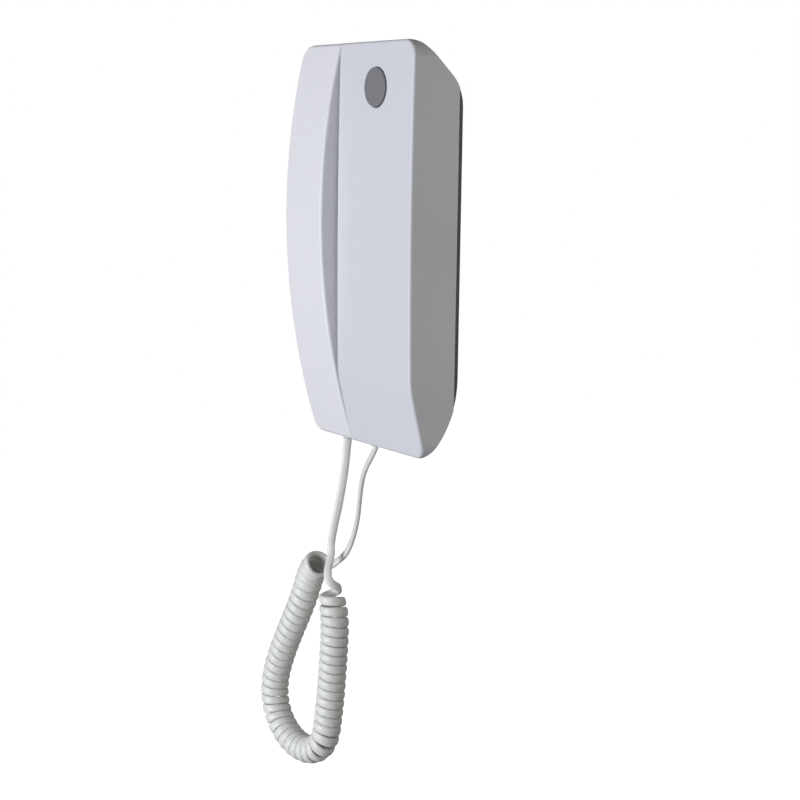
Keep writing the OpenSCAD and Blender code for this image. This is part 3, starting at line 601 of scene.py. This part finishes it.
    def coil(self) -> tuple[np.ndarray, np.ndarray, np.ndarray]:
        """Winds the curly length.

        Returns:
            Its middle line, and at each point the direction out of the curl and the cord's width.
        """
        points, run, ahead, bend = self.axis()
        sharpness = np.linalg.norm(bend, axis=1)
        turn = self.winding(run, sharpness)
        opened = ease((run - self.flare[0]) / (self.flare[1] - self.flare[0]))
        last = len(run) - 1
        steps = np.arange(last + 1)
        count = int(turn[-1] * self.curl_rings / TURN)
        wound = np.interp(np.arange(1, count) * TURN / self.curl_rings, turn, steps)
        entry = np.linspace(0, float(wound[0]), self.entry_rings + 1)[:-1]
        leaving = np.linspace(float(wound[-1]), last, self.exit_rings + 1)[1:]
        places = np.concatenate([entry, wound, leaving])
        along = unit(between(ahead, places))
        normal = unit(np.cross(along, np.array(self.loop_normal)))
        angle = (self.last_angle + turn[-1] - np.interp(places, steps, turn))[:, None]
        out = np.cos(angle) * normal + np.sin(angle) * np.cross(along, normal)
        share = np.interp(places, steps, opened)
        path = between(points, places) + self.coil_r * share[:, None] * out
        # The curls lie close together: squeezed on the inside of a bend, spread on the outside.
        inward = np.sum(out * between(bend, places), axis=1)
        room = self.fill * self.pitch * (1 - self.coil_r * inward)
        room /= 1 - self.give * self.coil_r * np.interp(places, steps, sharpness)
        end = np.clip((last - places) / self.axis_steps, 0, 1)
        return path, out, self.width + (np.clip(room, *self.curl_widths) - self.width) * share * end

    def lead(self, points: Sequence[Point], joint: np.ndarray, beyond: np.ndarray, flat: Point,
             curl_thin: np.ndarray) -> tuple[np.ndarray, np.ndarray]:
        """Draws one plain lead from its outlet to the curls.

        Args:
            points: route from the outlet.
            joint: where the curls start.
            beyond: a point of the curls past the joint.
            flat: thin way of the cord at the outlet.
            curl_thin: thin way of the cord at the joint.

        Returns:
            Its middle line without the joint, and its thin way at each point.
        """
        x, y, z = points[0]
        route = np.array([(x, y, z + self.stub), *points, joint, beyond], float)
        last = len(route) - 2
        places = np.linspace(self.lead_start, last, self.lead_rings * last)[:-1]
        start = np.array(flat, float)
        end = curl_thin if np.dot(curl_thin, start) > 0 else -curl_thin
        share = ease((places - last + self.twist) / self.twist)[:, None]
        return on_route(route, places), unit(start * (1 - share) + end * share)

    def line(self) -> tuple[np.ndarray, np.ndarray, np.ndarray]:
        """Draws the whole cord from the handset's outlet to the base's outlet.

        Returns:
            Its middle line, and its thin way and width at each point.
        """
        curls, out, widths = self.coil()
        grip, grip_thin = self.lead(
            self.grip_lead, curls[0], curls[self.grip_ahead], self.grip_flat, out[0])
        base, base_thin = self.lead(
            self.base_lead, curls[-1], curls[self.base_ahead], self.base_flat, out[-1])
        thin = np.concatenate([grip_thin, out, base_thin[::-1]])
        # The thin way is turned about where it flips, so that the tube doesn't close up there.
        for i in range(1, len(thin)):
            if np.dot(thin[i], thin[i - 1]) < 0:
                thin[i] *= -1
        width = np.concatenate([np.full(len(grip), self.width), widths, np.full(len(base), self.width)])
        return np.concatenate([grip, curls, base[::-1]]), thin, width

    def build(self) -> bpy.types.Object:
        """Returns:
            The cord.
        """
        path, thin, width = self.line()
        along = unit(np.gradient(path, axis=0))
        wide = unit(np.cross(thin, along))
        thin = np.cross(along, wide)
        angles = np.arange(self.sides) * TURN / self.sides
        # A squarish oval: the two long sides of the section are nearly flat.
        c, s = np.cos(angles), np.sin(angles)
        u = width[:, None] / 2 * np.sign(c) * np.abs(c) ** self.squareness[0]
        v = self.thick / 2 * np.sign(s) * np.abs(s) ** self.squareness[1]
        rings = path[:, None] + wide[:, None] * u[:, :, None] + thin[:, None] * v[None, :, None]
        cord = Workshop.loft("curly_cord", [[tuple(q) for q in ring] for ring in rings])
        nodes = ["cord_handset_lead", "cord_coil", "cord_base_lead"]
        Workshop.finish(cord, Finishes.CORD, "", "cord_grey", nodes)
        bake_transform(cord)
        return cord


# The station's shape

# How far a cutting tool goes past the surface that it cuts.
PAST = 1.0


@dataclass
class Outline:
    """Main sizes in millimetres and the curves that the cover and the handset share."""

    # The outer limits, the side of the raised face and the side of the handset that faces it.
    top: float = 100.0
    bottom: float = -100.0
    right: float = 53.5
    left: float = -53.5
    face_x: float = -15.7
    grip_right: float = -16.7
    # Walls, the narrow lands that keep edges from running out to nothing, and the ends of the hollows.
    wall: float = 2.2
    land: float = 0.3
    hollow_low: float = 4.5
    hollow_high: float = 0.5
    # The raised face: its depth, its shallow crown, and the bend to its lower slope.
    face_d: float = 29.0
    crown_r: float = 3600.0
    crown_z: float = 22.0
    bend_z: float = -57.0
    bend_r: float = 60.0
    bend_angle: float = math.radians(14)
    # The tray's depth, the wall plate's thickness, and the rounded edges and corners.
    tray_d: float = 11.0
    plate_t: float = 2.3
    edge_r: float = 1.5
    top_corner: float = 8.5
    bottom_corner: float = 7.0
    # The rear: the slope behind the top with its rounded foot and head, and the heel behind the bottom.
    slope_angle: float = math.radians(46)
    foot_r: float = 21.0
    head_r: float = 8.0
    heel_r: float = 52.0
    # The finger scoop in the tray.
    scoop_r: float = 60.0
    scoop_depth: float = 5.0
    # The handset: its bowed front, its back at the cups and along the waist, and its back shell's height.
    bow_d: float = 37.8
    bow_z: float = 16.0
    bow_top_r: float = 340.0
    bow_bottom_r: float = 354.0
    rest_d: float = 11.3
    waist_d: float = 20.5
    waist_top: float = 36.0
    waist_bottom: float = -40.0
    waist_ramp: float = 18.0
    back_h: float = 4.0
    # The usual distance between sections, and the closer places of those near an end.
    section_step: float = 1.25
    end_steps: tuple[float, ...] = (
        0.0, 0.04, 0.12, 0.25, 0.4, 0.6, 0.85, 1.15, 1.5, 2.0, 2.6, 3.3, 4.1, 5.0, 6.0, 7.0, 8.0)
    head_d: float = field(init=False)
    head_z: float = field(init=False)
    foot_z: float = field(init=False)
    heel_z: float = field(init=False)

    def __post_init__(self) -> None:
        """Works out where the slope behind the top and the heel behind the bottom start."""
        s, c = math.sin(self.slope_angle), math.cos(self.slope_angle)
        self.head_d = self.face(self.top) - self.edge_r - self.land
        self.head_z = self.top - self.head_r
        rise = (self.head_d - self.head_r * c - self.foot_r * (1 - c)) / math.tan(self.slope_angle)
        self.foot_z = self.head_z + self.head_r * s - rise - self.foot_r * s
        heel_d = self.face(self.bottom) - self.edge_r - self.land
        self.heel_z = self.bottom + math.sqrt(self.heel_r ** 2 - (self.heel_r - heel_d) ** 2)

    def face(self, z: float) -> float:
        """Gives the depth of the raised face: a shallow crown, a bend and a straight slope.

        Args:
            z: height.

        Returns:
            The depth, from the wall.
        """
        run, t = self.bend_r * math.sin(self.bend_angle), self.bend_z - z
        back = 0.0
        if t > 0:
            back = sag(self.bend_r, min(t, run)) + max(0.0, t - run) * math.tan(self.bend_angle)
        return self.face_d - sag(self.crown_r, max(z, self.bend_z) - self.crown_z) - back

    def bow(self, z: float) -> float:
        """Gives the depth of the handset's bowed front."""
        return self.bow_d - sag(self.bow_top_r if z > self.bow_z else self.bow_bottom_r, z - self.bow_z)

    def rear(self, z: float, w: float = 0.0) -> float:
        """Gives the depth of the rear outline: heel, flat, foot, slope and head.

        Args:
            z: height.
            w: how far the outline is drawn in.

        Returns:
            The depth, from the wall.
        """
        foot, head = self.foot_r - w, self.head_r - w
        s, c = math.sin(self.slope_angle), math.cos(self.slope_angle)
        if z < self.heel_z:
            return self.heel_r - math.sqrt(max(0.0, (self.heel_r - w) ** 2 - (self.heel_z - z) ** 2))
        if z < self.foot_z:
            return w
        if z < self.foot_z + foot * s:
            return self.foot_r - math.sqrt(foot * foot - (z - self.foot_z) ** 2)
        if z < self.head_z + head * s:
            return self.foot_r - foot * c + (z - self.foot_z - foot * s) * math.tan(self.slope_angle)
        return self.head_d - math.sqrt(max(0.0, head * head - (z - self.head_z) ** 2))

    def rear_top(self, d: float, w: float = 0.0) -> float:
        """Finds where the slope passes a depth.

        Args:
            d: the depth.
            w: how far the outline is drawn in.

        Returns:
            The height there.
        """
        foot = self.foot_r - w
        lift = (d - self.foot_r + foot * math.cos(self.slope_angle)) / math.tan(self.slope_angle)
        return self.foot_z + foot * math.sin(self.slope_angle) + lift

    def rear_bottom(self, d: float, w: float = 0.0) -> float:
        """Gives the height at which the heel, drawn in by w, passes the depth d."""
        return self.heel_z - math.sqrt((self.heel_r - w) ** 2 - (self.heel_r - d) ** 2)

    def corner(self, z: float, top_r: float, bottom_r: float) -> float:
        """Gives how far a rounded corner draws an edge in.

        Args:
            z: height.
            top_r: radius of the upper corner.
            bottom_r: radius of the lower corner.

        Returns:
            The distance, 0 between the corners.
        """
        if z > self.top - top_r:
            return sag(top_r, z - self.top + top_r)
        return sag(bottom_r, self.bottom + bottom_r - z) if z < self.bottom + bottom_r else 0.0

    def side(self, z: float) -> float:
        """Gives the half width of the body."""
        return self.right - self.corner(z, self.top_corner, self.bottom_corner)

    def scoop(self, z: float) -> float:
        """Gives the depth of the finger scoop in the tray."""
        return max(0.0, self.scoop_depth - sag(self.scoop_r, min(abs(z), self.scoop_r)))

    def back(self, z: float) -> float:
        """Gives the depth of the handset's back: flat at the cups, raised along the grip.

        Args:
            z: height.

        Returns:
            The depth, from the wall.
        """
        up = ease((self.waist_top + self.waist_ramp - z) / self.waist_ramp)
        down = ease((z - self.waist_bottom + self.waist_ramp) / self.waist_ramp)
        return self.rest_d + (self.waist_d - self.rest_d) * up * down

    def split(self, z: float) -> float:
        """Gives the depth of the parting line between the handset's shells."""
        return self.back(z) + self.back_h

    def heights(self, low: float, high: float) -> list[float]:
        """Gives section heights, close together at the two ends.

        Args:
            low: lowest height.
            high: highest height.

        Returns:
            The heights, upwards.
        """
        ends = self.end_steps
        count = max(2, round((high - low - 2 * ends[-1]) / self.section_step))
        middle = np.linspace(low + ends[-1], high - ends[-1], count + 1)[1:-1]
        return [low + e for e in ends] + [float(z) for z in middle] + [high - e for e in reversed(ends)]

    def hollow_heights(self, count: int) -> np.ndarray:
        """Gives section heights for a hollow that goes from the bottom to the top."""
        return np.linspace(self.bottom + self.hollow_low, self.top - self.wall - self.hollow_high, count)


@dataclass
class CallButton:
    """The round grey button: a low dome on a flange and a stem."""

    shape: Outline
    x: float = 20.0
    z: float = 78.0
    r: float = 9.5
    proud: float = 1.3
    crown: float = 0.35
    edge: float = 0.25
    flange: float = 1.5
    flange_t: float = 1.2
    stem_r: float = 2.25
    stem_end: float = 19.8
    rest_gap: float = 0.3
    sides: int = 128
    edge_points: int = 9
    crown_points: int = 14

    def build(self) -> bpy.types.Object:
        """Turns the button and dresses it.

        Returns:
            The button.
        """
        face = self.shape.face(self.z)
        top, rim = face + self.proud, self.r - self.edge
        high = face - self.shape.wall - self.rest_gap
        outline = [(0.0, self.stem_end), (self.stem_r, self.stem_end), (self.stem_r, high - self.flange_t),
                   (self.r + self.flange, high - self.flange_t), (self.r + self.flange, high), (self.r, high)]
        outline += [(rim + self.edge * math.cos(a), top - self.crown - self.edge * (1 - math.sin(a)))
                    for a in np.linspace(0, math.pi / 2, self.edge_points)]
        outline += [(q, top - self.crown * (q / rim) ** 2)
                    for q in np.linspace(rim, 0, self.crown_points)[1:]]
        button = Workshop.lathe("button_cap", self.x, self.z, outline, self.sides)
        Workshop.finish(button, Finishes.BUTTON, "button", "button_grey", ["call_button"])
        return button


@dataclass
class BaseCover:
    """The white cover: a raised housing with the button's hole and a tray for the handset."""

    shape: Outline
    button: CallButton
    cord: CurlyCord
    tray_edge: float = 0.8
    tray_fillet: float = 0.7
    steps: int = 6
    # Sections this close to the tray's ends are left out.
    clear: float = 0.02
    hollow_points: int = 90
    # The button's hole: the gap round the button, its rounded edge, the depth that it is cut from, and
    # how far its tool goes past the face, outwards and forwards.
    hole_gap: float = 0.3
    hole_edge: float = 0.35
    hole_steps: int = 5
    hole_d: float = 20.0
    hole_past: Pair = (3.0, 0.6)
    # The hook lever's slot: left, right, lower and upper side, and the depths between which it is cut.
    slot: tuple[float, float, float, float] = (-35.8, -27.7, 52.8, 63.2)
    slot_d: Pair = (2.6, 14.0)
    # The cord's outlet: its radius and its height.
    outlet_r: float = 2.45
    outlet_h: float = 26.0

    def ring(self, z: float, tray: bool) -> Ring:
        """Draws the cover's section at one height.

        Args:
            z: height.
            tray: whether the tray is there.

        Returns:
            Corners from the left rear edge round the front to the right rear edge.
        """
        o = self.shape
        rear = max(o.plate_t, o.rear(z))
        front = o.face(z) - o.corner(z, o.edge_r, o.edge_r)
        edge = fitted(o.edge_r, front - rear, self.steps)
        flat = o.tray_d - o.scoop(z)
        points: list[Pair] = []
        if tray:
            lip = fitted(self.tray_edge, flat - rear, self.steps)
            points.append((-o.side(z), rear))
            points += [(-o.side(z) + i, flat - d) for i, d in lip]
            points += [(o.face_x - i, flat + d) for d, i in rounding(self.tray_fillet, self.steps)]
        else:
            # As many corners as the tray has, so that the sections can be joined.
            points += [(o.face_x, rear)] * (2 * self.steps + 3)
        points += [(o.face_x + i, front - d) for i, d in edge]
        points += [(o.side(z) - i, front - d) for i, d in reversed(edge)]
        points.append((o.side(z), rear))
        return [(x, -d, z) for x, d in points]

    def rings(self) -> list[Ring]:
        """Draws all sections, with a step where the tray ends.

        Returns:
            The sections, upwards.
        """
        o = self.shape
        low, high = o.rear_bottom(o.tray_d - o.land), o.rear_top(o.tray_d - o.land)
        zs = o.heights(o.bottom, o.top)
        stack = [self.ring(z, False) for z in zs if z < low - self.clear]
        stack += [self.ring(low, False), self.ring(low, True)]
        stack += [self.ring(z, True) for z in zs if low + self.clear < z < high - self.clear]
        stack += [self.ring(high, True), self.ring(high, False)]
        return stack + [self.ring(z, False) for z in zs if z > high + self.clear]

    def hollows(self) -> list[bpy.types.Object]:
        """Makes the tools for the hollows behind the face and the tray, and for the open back.

        Returns:
            The three tools.
        """
        o = self.shape
        zs = o.hollow_heights(self.hollow_points)
        face = [(o.rear(z, o.wall), z) for z in zs] + [(o.face(z) - o.wall, z) for z in reversed(zs)]
        skin = o.tray_d - o.wall
        low, high = o.rear_bottom(skin, o.wall) + PAST, o.rear_top(skin, o.wall) - PAST
        zs = np.linspace(low, high, self.hollow_points)
        tray = [(o.rear(z, o.wall) - o.land, z) for z in zs] + [(skin - o.scoop(z), z) for z in reversed(zs)]
        d0, d1 = o.plate_t - PAST, o.plate_t + PAST
        # The open back goes a quarter of the way round the foot of the slope.
        z1 = o.foot_z + o.foot_r * math.sin(o.slope_angle / 4)
        back = [(d0, o.heel_z), (d1, o.heel_z), (d1, z1), (d0, z1)]
        return [Workshop.prism("face_hollow", o.face_x + o.wall, o.right - o.wall, face),
                Workshop.prism("tray_hollow", o.left + o.wall, o.face_x + o.wall + PAST, tray),
                Workshop.prism("open_back", o.left + o.wall, o.right - o.wall, back)]

    def button_hole(self) -> bpy.types.Object:
        """Makes the tool for the button's hole with its rounded edge.

        Returns:
            The tool.
        """
        x, z, r = self.button.x, self.button.z, self.button.r + self.hole_gap
        top = self.shape.face(z)
        wider, higher = self.hole_past
        mouth = [(0.0, self.hole_d), (r, self.hole_d)]
        mouth += [(r + out, top - down) for down, out in reversed(rounding(self.hole_edge, self.hole_steps))]
        mouth += [(r + wider, top + higher), (0.0, top + higher)]
        return Workshop.lathe("button_hole", x, z, mouth, self.button.sides)

    def build(self) -> bpy.types.Object:
        """Makes the cover, cuts its hollows and holes and dresses it.

        Returns:
            The cover.
        """
        cover = Workshop.loft("cover_shell", self.rings())
        for hollow in self.hollows():
            Workshop.cut(cover, hollow)
        Workshop.cut(cover, self.button_hole())
        x0, x1, z0, z1 = self.slot
        d0, d1 = self.slot_d
        Workshop.cut(cover, Workshop.prism("hook_slot", x0, x1, [(d0, z0), (d1, z0), (d1, z1), (d0, z1)]))
        Workshop.cut(cover, Workshop.rod("cord_bore", self.cord.base_lead[0], self.outlet_r, self.outlet_h))
        Workshop.finish(cover, Finishes.COVER, "base", "shell_white", ["base_cover"])
        return cover


@dataclass
class Handset:
    """The bowed handset: a front and a back shell with a parting line, sound holes and screw wells."""

    shape: Outline
    cord: CurlyCord
    front_edge: float = 1.6
    back_edge: float = 2.0
    steps: int = 6
    hollow_points: int = 120
    # The parting line: its gap, its bevel, and the most of a shell's depth that the bevel takes.
    parting: float = 0.1
    parting_edge: float = 0.25
    parting_share: float = 0.15
    # The sound holes: the middle of the handset, the two places, the radius, the width and depth of the
    # eased edge, the hole's depth, and the earpiece's rows with six more holes in each.
    middle: float = -35.1
    ear_z: float = 70.0
    mic_z: float = -75.0
    hole_r: float = 0.9
    hole_ease: Pair = (0.2, 0.25)
    hole_d: float = 3.2
    hole_sides: int = 24
    hole_rows: tuple[int, ...] = (1, 2)
    hole_step: float = 3.7
    # The screw wells: heights, radius, eased edge and depth, and the screw's hole below.
    screw_zs: Pair = (22.0, -22.0)
    well_r: float = 2.7
    well_ease: Pair = (0.3, 0.3)
    well_d: float = 1.8
    well_sides: int = 48
    shank_r: float = 1.65
    shank_d: float = 5.0
    # The cord's outlet: its radius and height, and the groove's radius, place and height.
    outlet_r: float = 2.45
    outlet_h: float = 13.0
    groove: tuple[float, float, float] = (3.2, 11.6, 1.6)

    def sides(self, z: float) -> Pair:
        """Gives the left and the right side.

        Args:
            z: height.

        Returns:
            Both places, across.
        """
        o = self.shape
        right = o.grip_right - o.corner(z, self.front_edge, self.front_edge)
        return o.left + o.corner(z, o.top_corner, o.bottom_corner), right

    def section(self, z: float, seam: float, outer: float, edge_r: float) -> Ring:
        """Draws a shell's section at one height.

        Args:
            z: height.
            seam: depth of the parting line.
            outer: depth of the outer face.
            edge_r: radius of that face's edges.

        Returns:
            Corners from the parting line on the left round to the parting line on the right.
        """
        x0, x1 = self.sides(z)
        depth, way = abs(outer - seam), math.copysign(1.0, outer - seam)
        edge = fitted(edge_r, depth, self.steps)
        p = min(self.parting_edge, depth * self.parting_share)
        points = [(x0 + p, seam), (x0, seam + way * p)]
        points += [(x0 + i, outer - way * d) for i, d in edge]
        points += [(x1 - i, outer - way * d) for i, d in reversed(edge)]
        points += [(x1, seam + way * p), (x1 - p, seam)]
        return [(x, -d, z) for x, d in points]

    def front_ring(self, z: float) -> Ring:
        """Draws the front shell's section.

        Args:
            z: height.

        Returns:
            The section's corners.
        """
        o = self.shape
        front = o.bow(z) - o.corner(z, self.front_edge, self.front_edge)
        rear = min(max(o.split(z), o.rear(z)), front - o.land)
        return self.section(z, rear, front, self.front_edge)

    def back_ring(self, z: float) -> Ring:
        """Draws the back shell's section."""
        rear = max(self.shape.back(z), self.shape.rear(z))
        return self.section(z, self.shape.split(z) - self.parting, rear, self.back_edge)

    def hollow(self, shell: bpy.types.Object, inside: Sequence[Pair]) -> None:
        """Cuts a shell hollow between its side walls."""
        left, right = self.shape.left + self.shape.wall, self.shape.grip_right - self.shape.wall
        Workshop.cut(shell, Workshop.prism("shell_hollow", left, right, inside))

    def cut_outlet(self, shell: bpy.types.Object) -> None:
        """Cuts the cord's outlet into a shell: a bore, and a groove for the flange of the bush.

        Args:
            shell: the front or the back shell.
        """
        x, y, low = self.cord.grip_lead[0]
        r, rise, h = self.groove
        Workshop.cut(shell, Workshop.rod("bore", (x, y, low), self.outlet_r, self.outlet_h))
        Workshop.cut(shell, Workshop.rod("groove", (x, y, low + rise), r, h))

    def build_front(self) -> bpy.types.Object:
        """Makes the bowed front shell.

        Returns:
            The shell.
        """
        o = self.shape
        shell = Workshop.loft("handset_front_shell", [self.front_ring(z) for z in o.heights(o.bottom, o.top)])
        zs = o.hollow_heights(self.hollow_points)
        inside = [(max(o.split(z) - PAST, o.rear(z, o.wall)), z) for z in zs]
        self.hollow(shell, inside + [(o.bow(z) - o.wall, z) for z in reversed(zs)])
        self.cut_outlet(shell)
        Workshop.finish(shell, Finishes.HANDSET, "handset", "handset_white", ["handset_front"])
        return shell

    @staticmethod
    def mouth(d: float, r: float, eased: Pair) -> list[Pair]:
        """Draws the mouth of a hole with an eased edge.

        Args:
            d: depth of the surface.
            r: radius of the hole.
            eased: width and depth of its edge.

        Returns:
            Radius and depth of each point, from outside to the hole's wall.
        """
        wide, deep = eased
        return [(0.0, d - PAST), (r + wide + PAST, d - PAST), (r + wide, d), (r, d + deep)]

    def sound_holes(self) -> bpy.types.Object:
        """Makes the tools for the earpiece's holes and the microphone's hole.

        Returns:
            The tools as one object.
        """
        d = self.shape.rest_d
        outline = self.mouth(d, self.hole_r, self.hole_ease)
        outline += [(self.hole_r, d + self.hole_d), (0.0, d + self.hole_d)]
        places = [(0.0, self.ear_z), (0.0, self.mic_z)]
        for row in self.hole_rows:
            places += [(x, self.ear_z + z) for x, z in Workshop.circle(row * self.hole_step, 6 * row)]
        return Workshop.join("sound_holes", [
            Workshop.lathe("sound_hole", self.middle + x, z, outline, self.hole_sides) for x, z in places])

    def screw_wells(self) -> bpy.types.Object:
        """Makes the tools for the wells of the two screw heads.

        Returns:
            The tools as one object.
        """
        parts = []
        for z in self.screw_zs:
            d = self.shape.back(z)
            outline = self.mouth(d, self.well_r, self.well_ease)
            outline += [(self.well_r, d + self.well_d), (self.shank_r, d + self.well_d),
                        (self.shank_r, d + self.shank_d), (0.0, d + self.shank_d)]
            parts.append(Workshop.lathe("screw_well", self.middle, z, outline, self.well_sides))
        return Workshop.join("screw_wells", parts)

    def build_back(self) -> bpy.types.Object:
        """Makes the back shell that lies on the tray.

        Returns:
            The shell.
        """
        o = self.shape
        cup = o.rest_d + o.back_h
        zs = o.heights(o.rear_bottom(cup - o.land), o.rear_top(cup - o.land))
        shell = Workshop.loft("handset_back_shell", [self.back_ring(z) for z in zs])
        zs = np.linspace(o.rear_bottom(cup, o.wall), o.rear_top(cup, o.wall), self.hollow_points)
        inside = [(max(o.back(z) + o.wall, o.rear(z, o.wall)), z) for z in zs]
        self.hollow(shell, inside + [(o.split(z) + PAST, z) for z in reversed(zs)])
        Workshop.cut(shell, self.sound_holes())
        Workshop.cut(shell, self.screw_wells())
        self.cut_outlet(shell)
        Workshop.finish(shell, Finishes.HANDSET, "handset", "handset_white", ["handset_back"])
        return shell


# What stays as packed


@dataclass
class PackedParts:
    """Finishes for the solids that show as they were packed."""

    dress: dict[str, Finishes] = field(default_factory=lambda: {
        # The wall plate's dark grey is partly painted shade along the cover's rear edge.
        "wall_plate": Finishes.PLATE_PAINTED_SHADE, "circuit_board": Finishes.BOARD, "board_screws": Finishes.STEEL,
        "terminal_block": Finishes.TERMINAL, "terminal_screws": Finishes.STEEL,
        "call_sounder": Finishes.SWITCH,
        "door_switch_body": Finishes.SWITCH, "door_switch_plunger": Finishes.PLUNGER,
        "hook_switch_body": Finishes.SWITCH, "hook_switch_plunger": Finishes.PLUNGER,
        "hook_lever": Finishes.LEVER, "hook_pivot_pin": Finishes.STEEL, "hook_spring": Finishes.STEEL,
        "base_cord_relief": Finishes.BUSH, "handset_cord_relief": Finishes.BUSH,
        "earpiece_capsule": Finishes.CAPSULE, "earpiece_gasket": Finishes.FOAM,
        "microphone_capsule": Finishes.CAPSULE, "microphone_boot": Finishes.BOOT,
        "handset_screws": Finishes.STEEL})

    def finish(self) -> None:
        """Gives each solid its finish."""
        for name, surface in self.dress.items():
            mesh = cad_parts[name].data
            mesh.materials.clear()
            mesh.materials.append(surface.value.material())
            LOG.info("%s: %s", name, surface.value.name)


# The studio


@dataclass(frozen=True)
class Lamp:
    """A soft square lamp, with its places and its side in metres."""

    name: str
    place: Point
    target: Point
    size: float
    watts: float
    tint: str

    def hang(self) -> None:
        """Hangs the lamp and turns it to its target."""
        lamp = bpy.data.objects.new(self.name, bpy.data.lights.new(self.name, "AREA"))
        bpy.context.scene.collection.objects.link(lamp)
        lamp.data.size = self.size
        lamp.data.energy = self.watts
        lamp.data.color = linear(self.tint)[:3]
        lamp.location = self.place
        lamp.rotation_euler = (Vector(self.target) - Vector(self.place)).to_track_quat("-Z", "Y").to_euler()


@dataclass
class Studio:
    """Camera, soft lights, a white backdrop and a plain pale floor."""

    eye: Point = (0.783954, -0.491392, 0.054008)
    yaw: float = math.radians(57.899)
    pitch: float = math.radians(8.15)
    roll: float = math.radians(0.889)
    lens: float = 82.356
    sensor: float = 36.0
    clip: float = 0.01
    floor_z: float = -1.2
    floor_half: float = 6.0
    floor_cells: int = 24
    sky_strength: float = 0.10
    # A broad lamp in front, and two weak ones, above and behind on the right.
    lamps: tuple[Lamp, ...] = (
        Lamp("front", (0.05, -1.8, -0.2), (0, 0, -0.05), size=1.2, watts=31, tint="#F7F9FF"),
        Lamp("above", (0.1, -0.5, 1.6), (0, 0, 0), size=1.0, watts=1.5, tint="#FFFFFF"),
        Lamp("behind", (0.8, 0.5, 0.0), (0, 0, 0), size=0.5, watts=1.9, tint="#FFFEF8"))

    def camera(self) -> None:
        """Sets the camera at the photograph's angle."""
        ahead = Vector((-math.sin(self.yaw), math.cos(self.yaw), 0))
        right, up = Vector((math.cos(self.yaw), math.sin(self.yaw), 0)), Vector((0, 0, 1))
        look = ahead * math.cos(self.pitch) - up * math.sin(self.pitch)
        over = up * math.cos(self.pitch) + ahead * math.sin(self.pitch)
        across = right * math.cos(self.roll) + over * math.sin(self.roll)
        rise = over * math.cos(self.roll) - right * math.sin(self.roll)
        camera = bpy.data.objects.new("camera", bpy.data.cameras.new("camera"))
        bpy.context.scene.collection.objects.link(camera)
        turn = Matrix((across, rise, -look)).transposed().to_4x4()
        camera.matrix_world = Matrix.Translation(self.eye) @ turn
        camera.data.lens = self.lens
        camera.data.sensor_width = self.sensor
        camera.data.clip_start = self.clip
        bpy.context.scene.camera = camera

    def floor(self) -> None:
        """Lays a plain pale floor well under the cord."""
        half, m = self.floor_half, self.floor_cells
        points = [(half * (2 * i / m - 1) / MM, half * (2 * j / m - 1) / MM, self.floor_z / MM)
                  for j in range(m + 1) for i in range(m + 1)]
        faces = [(j * (m + 1) + i, j * (m + 1) + i + 1, (j + 1) * (m + 1) + i + 1, (j + 1) * (m + 1) + i)
                 for j in range(m) for i in range(m)]
        sheet = Workshop.make("floor", points, faces)
        material = bpy.data.materials.new("paper sweep, matt")
        material.use_nodes = True
        tree = material.node_tree
        tree.nodes.clear()
        shader = add_node(tree, "ShaderNodeBsdfPrincipled", {
            "Base Color": linear("#F4F4F5"), "Roughness": 0.95,
            "Emission Color": linear("#FFFFFF"), "Emission Strength": 1.0})
        add_node(tree, "ShaderNodeOutputMaterial", {"Surface": shader.outputs[0]})
        sheet.data.materials.append(material)
        # The floor is white to the eye but sends no light back up, as if it lay far below.
        sheet.visible_diffuse = False
        sheet.visible_glossy = False

    def sky(self) -> None:
        """Gives a white backdrop that sends out only part of that light."""
        world = bpy.data.worlds.new("studio")
        world.use_nodes = True
        tree = world.node_tree
        tree.nodes.clear()
        rays = add_node(tree, "ShaderNodeLightPath", {})
        dim = add_node(tree, "ShaderNodeBackground", {
            "Color": linear("#F4F4F6"), "Strength": self.sky_strength})
        white = add_node(tree, "ShaderNodeBackground", {"Color": linear("#FFFFFF"), "Strength": 1.0})
        seen = add_node(tree, "ShaderNodeMixShader", {
            0: rays.outputs["Is Camera Ray"], 1: dim.outputs[0], 2: white.outputs[0]})
        add_node(tree, "ShaderNodeOutputWorld", {"Surface": seen.outputs[0]})
        bpy.context.scene.world = world

    def light(self) -> None:
        """Hangs the lamps and keeps the colours plain."""
        for lamp in self.lamps:
            lamp.hang()
        bpy.context.scene.view_settings.view_transform = "Standard"


def main() -> None:
    """Builds the scene: camera and cord first, then the shells, the finishes and the light."""
    logging.basicConfig(level=logging.INFO, format="%(name)s %(message)s")
    studio = Studio()
    studio.camera()
    cord = CurlyCord()
    cord.build()
    shape = Outline()
    button = CallButton(shape)
    BaseCover(shape, button, cord).build()
    handset = Handset(shape, cord)
    handset.build_front()
    handset.build_back()
    button.build()
    PackedParts().finish()
    studio.floor()
    studio.sky()
    studio.light()


if __name__ == "__main__":
    main()
